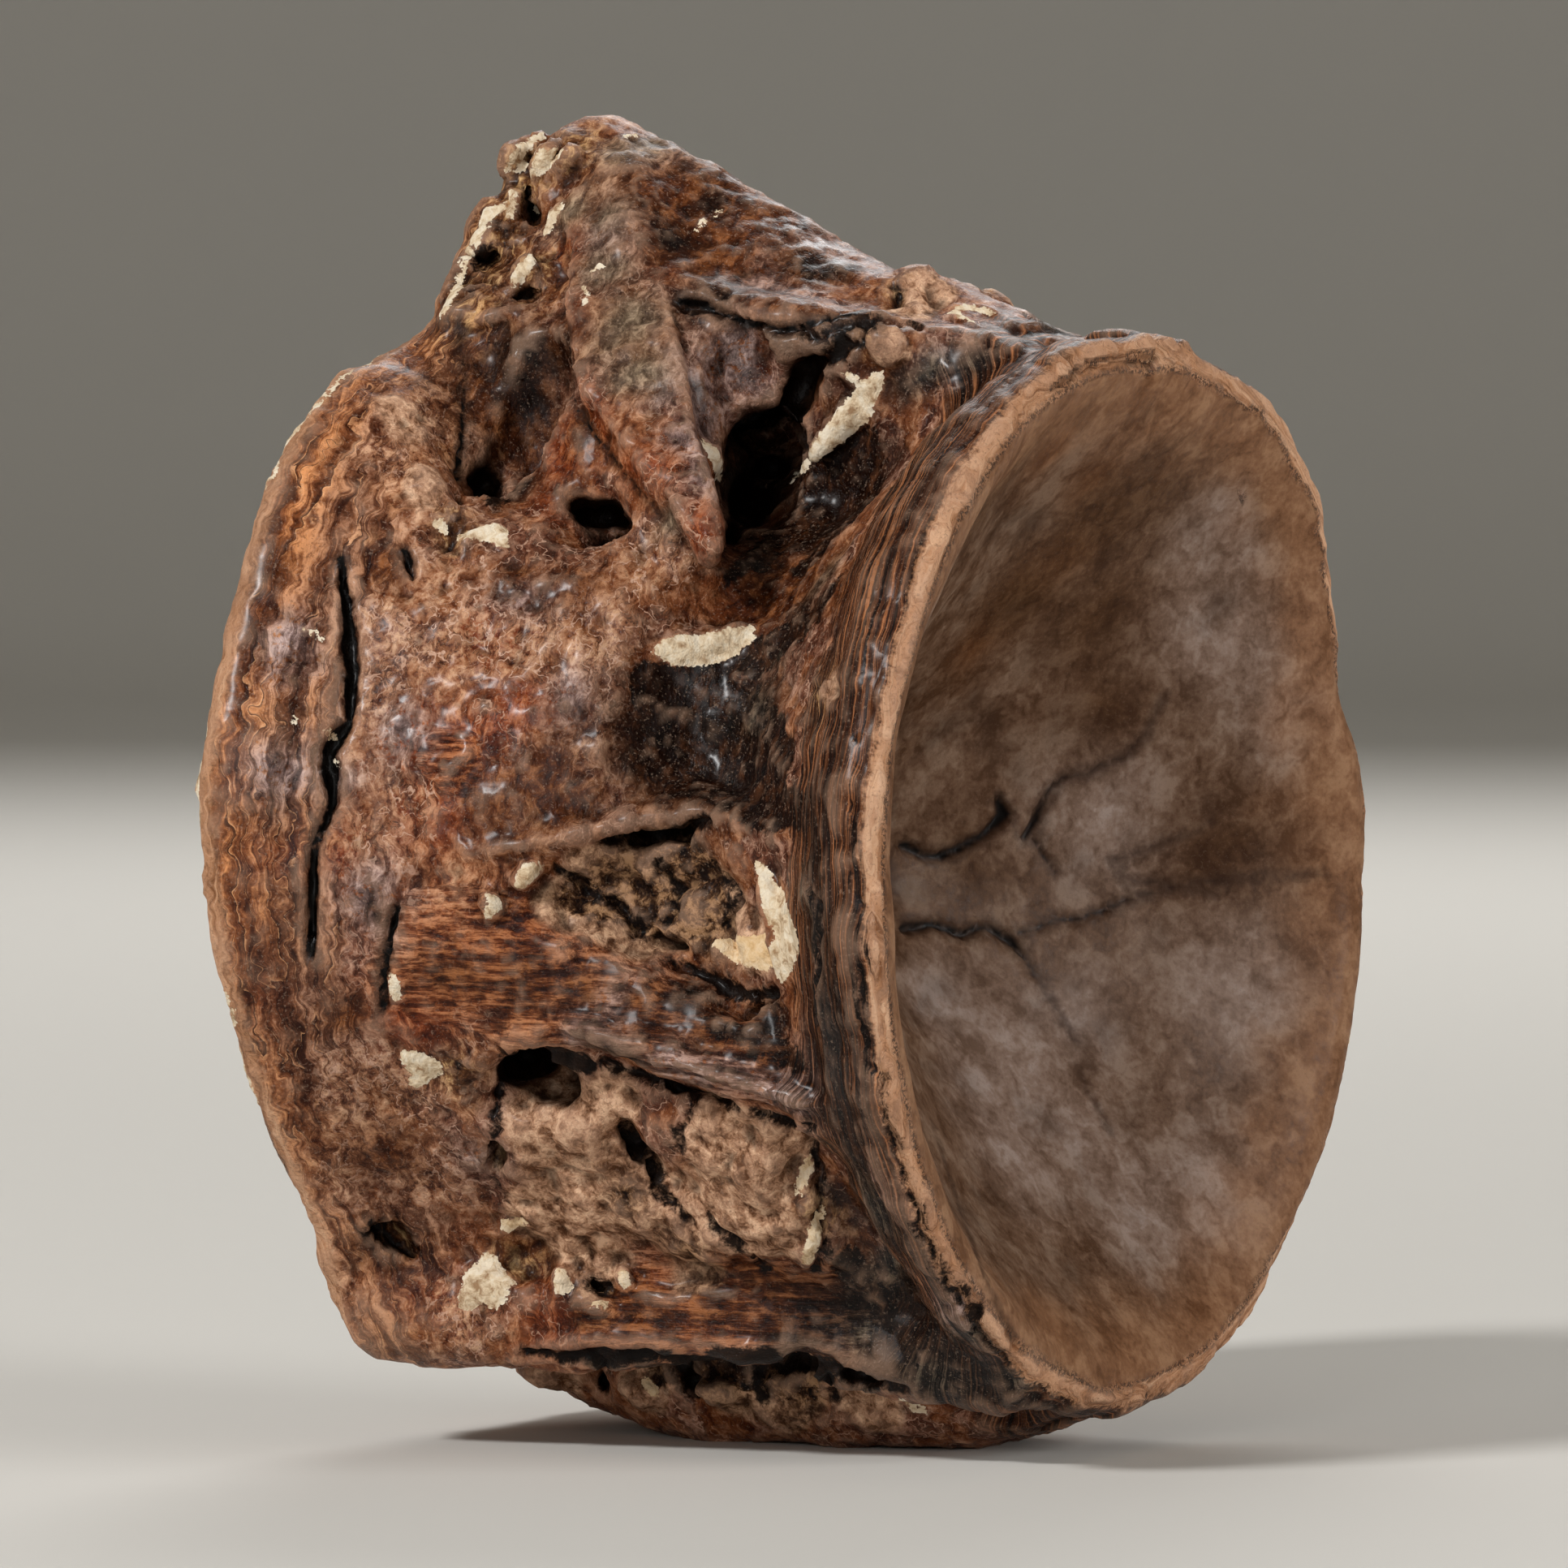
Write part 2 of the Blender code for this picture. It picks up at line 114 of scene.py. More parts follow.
# Hollows that are dug into the bone: middle in pixels, distance from the middle plane in
# millimetres, or None for one that starts on the surface, half width and half height in pixels,
# turn in degrees and depth in millimetres
DUG = {
    "window_middle": (948, 572, -3.0, 44, 30, 20, 6.5),
    "window_low": (926, 616, -3.0, 34, 42, -12, 6.0),
    "window_foot": (900, 668, -4.0, 13, 30, -14, 4.0),
    "window_recess": (912, 452, None, 52, 66, 24, 0.9),
    "window_corner": (988, 478, None, 26, 50, -20, 1.6),
    "fossa": (650, 500, None, 62, 112, -6, 1.6),
    "fossa_hole": (742, 636, None, 34, 22, 12, 1.8),
    "fossa_mouth": (716, 628, None, 22, 16, -30, 1.3),
    "fossa_slot": (598, 596, None, 26, 17, -40, 1.6),
    "fossa_nick": (566, 612, None, 9, 26, 10, 1.2),
    "broken_top": (656, 252, None, 15, 34, 8, 1.5),
    "broken_middle": (600, 318, None, 27, 17, 20, 1.3),
    "broken_low": (650, 362, None, 24, 14, 20, 1.2),
    "knob_hole": (1104, 366, None, 9, 9, 0, 0.8),
    "brow_hole": (1131, 404, None, 8, 9, 0, 0.8),
    "upper_gap": (812, 1032, None, 54, 13, 8, 1.8),
    "upper_nook": (902, 1160, None, 16, 34, 30, 1.0),
    "upper_nook_low": (820, 1158, None, 44, 12, -14, 0.9),
    "ledge_under_a": (752, 1306, None, 58, 13, -18, 1.6),
    "ledge_under_b": (850, 1342, None, 62, 12, -14, 1.5),
    "ledge_under_c": (945, 1372, None, 52, 11, -16, 1.4),
    "lower_cavern": (655, 1308, None, 42, 26, 14, 2.2),
    "lower_cleft_a": (778, 1398, None, 14, 30, 25, 1.4),
    "lower_cleft_b": (815, 1442, None, 11, 34, 40, 1.2),
    "lower_cleft_c": (612, 1430, None, 12, 52, -6, 1.0),
    "pocket": (486, 1530, None, 42, 15, -34, 1.0),
    "ring_hole": (734, 1588, None, 14, 13, 0, 1.1),
    "keel_recess": (880, 1684, None, 270, 17, 0, 1.3),
    "lower_shade": (900, 1240, None, 66, 16, -12, 0.7),
    "keel_gap_a": (652, 1700, None, 16, 20, 0, 1.2),
    "keel_gap_b": (738, 1702, None, 13, 30, 15, 1.2),
    "keel_gap_c": (868, 1706, None, 34, 15, 0, 1.2),
    "keel_gap_d": (965, 1690, None, 42, 16, 5, 1.3),
    "keel_gap_e": (1060, 1700, None, 22, 20, 0, 1.0),
}

# Lumps and shards that stand on the bone: middle in pixels, distance from the middle plane in
# millimetres, or None for one that sits on the surface, half width and half height in pixels,
# turn in degrees and half thickness in millimetres
GROWN = {
    "shard_top": (668, 202, None, 30, 13, 55, 0.45),
    "shard_crest": (645, 190, -1.2, 34, 13, 42, 0.9),
    "shard_edge": (630, 250, -1.6, 34, 9, 85, 0.8),
    "shard_middle": (682, 268, None, 26, 11, 55, 0.4),
    "shard_low": (646, 330, None, 27, 13, 60, 0.5),
    "shard_outer": (596, 272, -2.2, 34, 18, 52, 0.9),
    "shard_foot": (574, 328, -2.8, 36, 13, 68, 0.9),
    "shard_rear": (556, 368, -3.4, 26, 15, 50, 0.9),
    "web_ridge": (620, 386, None, 40, 6, 12, 0.35),
    "knob": (1126, 352, 0.4, 27, 17, 0, 0.7),
    "knob_side": (1165, 372, 0.2, 30, 12, -14, 0.7),
    "brow_stone": (1098, 425, None, 24, 22, 0, 0.5),
    "window_chalk": (876, 566, None, 9, 26, -15, 0.9),
    "sliver": (1044, 514, None, 68, 17, 52, 0.4),
    "lens": (866, 793, None, 66, 20, 8, 0.4),
    "upper_stone_a": (650, 1076, None, 22, 15, 30, 0.6),
    "upper_stone_b": (606, 1114, None, 20, 14, -50, 0.5),
    "keel_stone_a": (676, 1694, None, 48, 20, -14, 1.0),
    "keel_stone_b": (792, 1716, None, 34, 20, -14, 0.9),
    "keel_stone_c": (890, 1716, None, 36, 20, -4, 0.8),
    "upper_crescent": (958, 1138, None, 16, 62, 12, 0.5),
    "ring_chip_a": (692, 1577, None, 12, 18, -10, 0.5),
    "ring_chip_b": (770, 1576, None, 9, 15, 25, 0.5),
    "ring_chip_c": (738, 1606, None, 12, 6, 0, 0.4),
    "rim_flake": (1404, 420, 3.5, 62, 10, -4, 0.9),
}

# Broad strips of bone with sharp edges: the thickness in millimetres and rows of points in pixels,
# each with its distance from the middle plane
STRIPS = {
    "pedicle": (1.3, [
        [(706, 240, -2.3), (742, 236, -2.4), (790, 246, -2.1)],
        [(705, 300, -3.6), (746, 300, -3.7), (800, 310, -3.3)],
        [(704, 355, -5.0), (756, 355, -4.9), (816, 360, -4.5)],
        [(704, 402, -6.3), (766, 400, -6.0), (830, 402, -5.5)],
        [(706, 452, -7.3), (776, 450, -6.9), (842, 452, -6.5)],
        [(720, 502, -8.2), (790, 500, -7.7), (852, 504, -7.4)],
        [(754, 548, -9.0), (814, 550, -8.5), (866, 554, -8.3)],
        [(796, 596, -9.8), (842, 600, -9.3), (880, 606, -9.1)],
        [(840, 646, -10.4), (868, 650, -10.1), (889, 654, -9.9)],
        [(866, 684, -10.7), (878, 690, -10.6), (889, 694, -10.4)],
    ]),
}

# Ledges that stand off the surface: the thickness in millimetres and rows of points in pixels,
# each with how far it stands off towards the eye
LEDGES = {
    "middle_ledge": (0.5, [
        [(690, 1238, -0.4), (740, 1248, -0.4), (800, 1262, -0.4), (860, 1284, -0.4),
         (920, 1304, -0.4), (970, 1322, -0.4), (1010, 1340, -0.4)],
        [(688, 1256, 0.1), (738, 1268, 0.2), (796, 1284, 0.2), (856, 1306, 0.2), (916, 1326, 0.2),
         (968, 1344, 0.2), (1010, 1360, 0.0)],
        [(690, 1270, 0.3), (740, 1284, 0.6), (794, 1304, 0.7), (854, 1325, 0.7), (914, 1343, 0.7),
         (966, 1360, 0.6), (1010, 1376, 0.2)],
    ]),
    "upper_brow": (0.45, [
        [(570, 1034, -0.5), (640, 1020, -0.5), (710, 1006, -0.5), (780, 988, -0.5),
         (850, 974, -0.5), (920, 984, -0.5), (980, 1024, -0.5)],
        [(568, 1048, 0.0), (640, 1036, 0.1), (710, 1022, 0.2), (780, 1004, 0.2), (850, 990, 0.2),
         (914, 1000, 0.2), (968, 1036, 0.0)],
        [(568, 1060, 0.1), (640, 1048, 0.3), (710, 1034, 0.5), (780, 1018, 0.6), (850, 1006, 0.6),
         (908, 1016, 0.5), (958, 1048, 0.1)],
    ]),
}

# Cracks: points in pixels, each with the half width there
CRACKS = {
    "rear_crack": [
        (420, 690, 3), (424, 720, 7), (427, 760, 9), (430, 800, 9), (432, 850, 9), (430, 893, 5),
        (416, 906, 11), (404, 925, 9), (405, 945, 12), (410, 985, 7), (400, 1012, 4),
        (387, 1045, 3), (385, 1080, 7), (383, 1120, 6), (384, 1150, 6), (383, 1178, 3),
    ],
    "flank_crack": [(489, 1118, 3), (486, 1140, 5), (480, 1165, 4), (474, 1190, 4), (472, 1244, 3)],
    "flank_nick": [(499, 680, 3), (505, 694, 5), (509, 708, 3)],
    "cup_upper": [
        (1112, 1040, 7), (1135, 1052, 5), (1160, 1055, 7), (1190, 1042, 6), (1215, 1025, 5),
        (1236, 1002, 9), (1228, 985, 5),
    ],
    "cup_fork": [
        (1262, 1032, 4), (1275, 1010, 5), (1290, 975, 2), (1310, 958, 2), (1345, 950, 1),
        (1385, 932, 1), (1410, 905, 0), (1440, 852, -2),
    ],
    "cup_link": [(1275, 1035, 2), (1285, 1055, 2), (1302, 1076, 0)],
    "cup_lower": [
        (1113, 1142, 7), (1150, 1140, 6), (1185, 1150, 6), (1215, 1140, 4), (1245, 1160, 7),
        (1262, 1180, 2), (1290, 1220, 0), (1308, 1255, -1), (1326, 1282, -2),
    ],
    "cup_long": [
        (1255, 1150, 1), (1300, 1135, 2), (1330, 1132, 2), (1365, 1120, 3), (1400, 1105, 1),
        (1470, 1087, 0), (1560, 1080, -1), (1640, 1076, -2),
    ],
    "cup_branch": [(1380, 1082, 0), (1430, 1088, 0), (1500, 1102, -2)],
    "cup_rise": [(1370, 1060, 0), (1430, 1040, -1), (1500, 1010, -2)],
    "cup_foot": [(1330, 1320, -3), (1348, 1355, -2), (1372, 1402, -3)],
    "rim_line": [(1150, 1385, -2), (1180, 1480, -1), (1215, 1580, -1), (1250, 1650, -2)],
    "brow_line": [
        (838, 372, 3), (870, 376, 4), (905, 392, 2), (960, 408, 2), (1010, 398, 2), (1060, 384, 1),
    ],
    "fossa_seam": [(700, 470, -2), (712, 505, -1), (742, 548, 0), (785, 600, -1), (830, 655, -2)],
    "web_seam": [(566, 400, -2), (572, 470, -1), (568, 540, 1), (562, 590, 4)],
}

# Raised edges and ridges: the height in millimetres, then points in pixels with half widths
RIDGES = {
    "web_top": (0.25, [(545, 374, 4), (590, 384, 5), (612, 387, 5), (642, 384, 4)]),
    "web_side": (0.2, [(612, 387, 4), (590, 430, 4), (576, 490, 4), (573, 550, 4)]),
    "waist_edge": (0.3, [
        (772, 742, 5), (768, 790, 6), (752, 840, 7), (742, 890, 7), (728, 935, 5),
    ]),
    "waist_line_a": (0.14, [
        (800, 836, 2), (860, 846, 2), (915, 870, 3), (955, 915, 2), (975, 965, 2),
    ]),
    "waist_line_b": (0.16, [
        (790, 866, 2), (845, 880, 3), (900, 910, 3), (935, 955, 2), (950, 1000, 2),
    ]),
    "waist_line_c": (0.12, [(785, 905, 2), (830, 915, 2), (880, 945, 3), (910, 985, 2)]),
    "waist_line_d": (0.12, [(830, 822, 2), (890, 826, 2), (945, 850, 2), (985, 900, 2)]),
    "fossa_rib_a": (0.1, [(600, 400, 2), (622, 450, 3), (650, 520, 3), (690, 590, 2)]),
    "fossa_rib_b": (0.1, [
        (640, 395, 2), (664, 440, 3), (692, 500, 3), (730, 560, 2), (770, 610, 2),
    ]),
    "fossa_rib_c": (0.08, [(590, 470, 2), (606, 520, 2), (636, 575, 2)]),
    "rust_ridge": (0.3, [
        (600, 870, 6), (580, 905, 9), (560, 945, 10), (545, 985, 9), (530, 1012, 6),
    ]),
    "lower_brow": (0.25, [
        (470, 1262, 6), (520, 1286, 6), (570, 1298, 7), (620, 1288, 7), (668, 1274, 6),
    ]),
    "keel_edge": (0.35, [
        (600, 1670, 6), (700, 1655, 7), (800, 1651, 7), (900, 1654, 7), (1000, 1662, 7),
        (1100, 1680, 5),
    ]),
    "lower_rise": (0.3, [
        (560, 1560, 7), (640, 1590, 8), (720, 1612, 8), (820, 1606, 8), (930, 1600, 7),
    ]),
    "flank_ridge": (0.22, [
        (440, 720, 5), (500, 760, 6), (560, 742, 6), (620, 718, 5), (700, 722, 5),
    ]),
}

# Gaps and corners, dug a little into the bone and painted near black as painted shade: chains of
# points in pixels with half widths
SHADE = {
    "window_side": [
        (972, 500, 12), (985, 470, 18), (1008, 444, 14), (1040, 426, 9), (1075, 410, 6),
    ],
    "window_top": [(905, 528, 8), (940, 512, 12), (978, 510, 16), (992, 545, 10)],
    "brow": [
        (846, 374, 6), (880, 386, 5), (930, 402, 6), (985, 414, 7), (1040, 406, 7), (1085, 392, 6),
    ],
    "knob_gap": [(1100, 360, 7), (1108, 370, 7)],
    "brow_gap": [(1127, 402, 5), (1134, 406, 6)],
    "fossa_hole": [(712, 638, 10), (742, 630, 18), (768, 646, 12)],
    "fossa_slot": [(572, 586, 7), (590, 604, 12), (614, 616, 7)],
    "broken_top": [(644, 236, 6), (656, 260, 9)],
    "broken_middle": [(586, 322, 10), (606, 312, 8)],
    "broken_low": [(638, 366, 7), (660, 354, 5)],
    "upper_gap": [(742, 1034, 6), (785, 1026, 11), (830, 1022, 10), (872, 1018, 6)],
    "upper_a": [(690, 1072, 5), (735, 1096, 7), (770, 1122, 6), (800, 1150, 7)],
    "upper_b": [(815, 1066, 5), (838, 1100, 8), (822, 1136, 5)],
    "upper_c": [(876, 1060, 5), (905, 1096, 6), (898, 1136, 6)],
    "upper_foot": [(838, 1188, 7), (880, 1212, 11), (922, 1226, 13), (958, 1226, 8)],
    "upper_side": [(1000, 1080, 5), (1008, 1140, 6), (1006, 1200, 6), (1002, 1260, 5)],
    "ledge_cavern": [(628, 1300, 12), (660, 1296, 20), (696, 1300, 17), (730, 1316, 9)],
    "ledge_shadow": [
        (745, 1312, 7), (800, 1332, 8), (850, 1346, 7), (900, 1360, 6), (950, 1376, 7),
        (1000, 1392, 8),
    ],
    "fill_left": [(616, 1330, 7), (608, 1380, 5), (614, 1440, 2), (622, 1486, 2)],
    "fill_cleft": [
        (768, 1386, 10), (788, 1410, 11), (804, 1440, 8), (824, 1474, 6), (846, 1508, 5),
    ],
    "fill_top": [(852, 1362, 5), (838, 1392, 4), (830, 1420, 2)],
    "fill_right": [(1004, 1404, 5), (1012, 1450, 7), (1016, 1500, 6), (1010, 1560, 5)],
    "fill_foot": [(870, 1500, 5), (905, 1530, 7), (940, 1560, 5)],
    "keel_line": [
        (640, 1664, 6), (690, 1666, 10), (740, 1668, 13), (800, 1668, 12), (850, 1672, 16),
        (920, 1674, 17), (990, 1678, 17), (1060, 1694, 12), (1110, 1712, 7),
    ],
    "keel_a": [(738, 1676, 9), (746, 1716, 9)],
    "keel_b": [(842, 1684, 14), (850, 1716, 9)],
    "keel_c": [(938, 1684, 10), (942, 1716, 8)],
    "keel_d": [(1018, 1692, 8), (1030, 1716, 5)],
    "ring": [(724, 1584, 7), (738, 1594, 9), (752, 1584, 6)],
    "pocket": [(456, 1512, 3), (480, 1528, 7), (514, 1552, 3)],
    "lip_line": [
        (1052, 900, 1), (1050, 1000, 1), (1054, 1120, 1), (1066, 1260, 1), (1096, 1400, 2),
        (1134, 1510, 2), (1186, 1612, 3), (1240, 1680, 3),
    ],
}

# Areas of dark bone with clear edges, some of them painted shade, such as the band under the lower
# bar
DEEP = {
    "waist": [(800, 848, 30), (850, 880, 50), (910, 906, 54), (960, 936, 40)],
    "waist_low": [(830, 950, 30), (890, 968, 40), (950, 980, 38), (990, 1000, 22)],
    "waist_top": [(870, 826, 12), (930, 812, 18), (990, 776, 18), (1030, 720, 12)],
    "window_foot": [
        (900, 706, 10), (940, 680, 14), (985, 640, 18), (1030, 590, 16), (1070, 540, 12),
    ],
    "front": [
        (1000, 1000, 14), (1010, 1120, 16), (1022, 1240, 18), (1044, 1360, 20), (1076, 1480, 26),
    ],
    "front_low": [(1040, 1560, 20), (1090, 1620, 34), (1160, 1680, 34), (1240, 1716, 20)],
    "keel_shade_band": [
        (700, 1676, 8), (780, 1680, 14), (880, 1692, 20), (980, 1698, 20), (1060, 1708, 16),
    ],
    "window_right": [(1010, 600, 30), (1040, 640, 26), (1080, 600, 20), (1000, 690, 24)],
    "bar_foot": [(880, 1262, 10), (930, 1280, 16), (980, 1300, 12)],
    "upper_bed": [(720, 1110, 24), (790, 1110, 34), (860, 1110, 34)],
}

# Chalk and pale stone left on the bone, as chains of points in pixels with half widths
CHALK = {
    "shard_top": [(655, 216, 7), (668, 200, 13), (690, 187, 8)],
    "shard_crest": [(626, 208, 5), (640, 186, 7), (668, 166, 5)],
    "shard_edge": [(631, 238, 6), (630, 264, 7)],
    "shard_middle": [(671, 286, 6), (680, 266, 9), (692, 251, 6)],
    "shard_low": [(635, 346, 8), (645, 330, 10), (656, 316, 6)],
    "shard_outer": [(566, 346, 5), (572, 320, 6), (588, 290, 9), (603, 262, 11), (620, 255, 6)],
    "shard_rear": [(543, 388, 6), (550, 372, 10), (562, 356, 10)],
    "roof_scratch": [(728, 335, 3), (740, 328, 4), (748, 326, 2)],
    "roof_fleck": [(857, 286, 3), (868, 272, 4)],
    "apex_fleck": [(768, 168, 3), (784, 165, 4)],
    "pedicle_fleck": [(720, 354, 4), (722, 374, 4)],
    "window_chalk": [(868, 548, 6), (880, 560, 9), (885, 582, 7), (890, 600, 4)],
    "sliver": [
        (974, 596, 3), (990, 574, 7), (1012, 550, 13), (1038, 526, 17), (1060, 500, 19),
        (1074, 476, 13), (1086, 460, 4),
    ],
    "sliver_arm": [(1071, 474, 7), (1046, 464, 5), (1030, 452, 3)],
    "knob_fleck": [(1168, 386, 4), (1195, 378, 6), (1222, 386, 5)],
    "fossa_spot": [(541, 644, 8), (546, 652, 7)],
    "fossa_patch": [(566, 662, 6), (590, 656, 9), (612, 654, 13), (620, 670, 7)],
    "lens": [(814, 800, 10), (836, 800, 19), (866, 802, 19), (898, 792, 18), (922, 780, 11)],
    "crack_fleck_a": [(402, 902, 4), (412, 908, 6)],
    "crack_fleck_b": [(414, 938, 3), (420, 950, 5)],
    "rear_fleck_a": [(366, 772, 2), (384, 778, 3), (402, 790, 2)],
    "rear_fleck_b": [(360, 880, 2), (366, 894, 3)],
    "keel_block": [(796, 1700, 5), (806, 1714, 8)],
    "upper_stone_a": [(640, 1090, 8), (650, 1076, 12), (664, 1068, 7)],
    "upper_stone_b": [(600, 1128, 7), (612, 1114, 9), (600, 1102, 5)],
    "upper_crescent": [
        (936, 1068, 7), (949, 1100, 14), (962, 1130, 22), (970, 1160, 27), (958, 1192, 20),
    ],
    "upper_foot": [(938, 1174, 22), (910, 1170, 17), (884, 1160, 7)],
    "flank_spot": [(482, 1204, 6), (486, 1218, 9), (491, 1232, 5)],
    "lower_patch": [(497, 1300, 7), (514, 1312, 19), (534, 1316, 12), (512, 1332, 10)],
    "corner_patch": [
        (576, 1602, 13), (590, 1572, 20), (608, 1592, 20), (600, 1554, 10), (626, 1580, 9),
    ],
    "middle_spot": [(624, 1511, 9), (646, 1505, 5)],
    "ring_chip_a": [(691, 1564, 7), (693, 1584, 12)],
    "ring_chip_b": [(766, 1566, 6), (771, 1582, 8)],
    "ring_chip_c": [(732, 1606, 5), (744, 1606, 6)],
    "side_fleck_a": [(985, 1472, 5), (992, 1446, 8), (998, 1430, 6)],
    "side_fleck_b": [(1012, 1488, 4), (1004, 1520, 9), (996, 1556, 8)],
    "keel_fleck": [(1112, 1724, 4), (1126, 1733, 6), (1140, 1738, 4)],
    "rear_edge": [(252, 884, 3), (246, 930, 6), (243, 1000, 7), (244, 1060, 6), (248, 1104, 3)],
    "rear_edge_low": [(262, 1236, 3), (271, 1290, 6), (285, 1336, 5), (300, 1372, 2)],
    "rear_edge_top": [(316, 596, 3), (340, 562, 5), (378, 512, 5), (420, 468, 4), (470, 430, 2)],
}

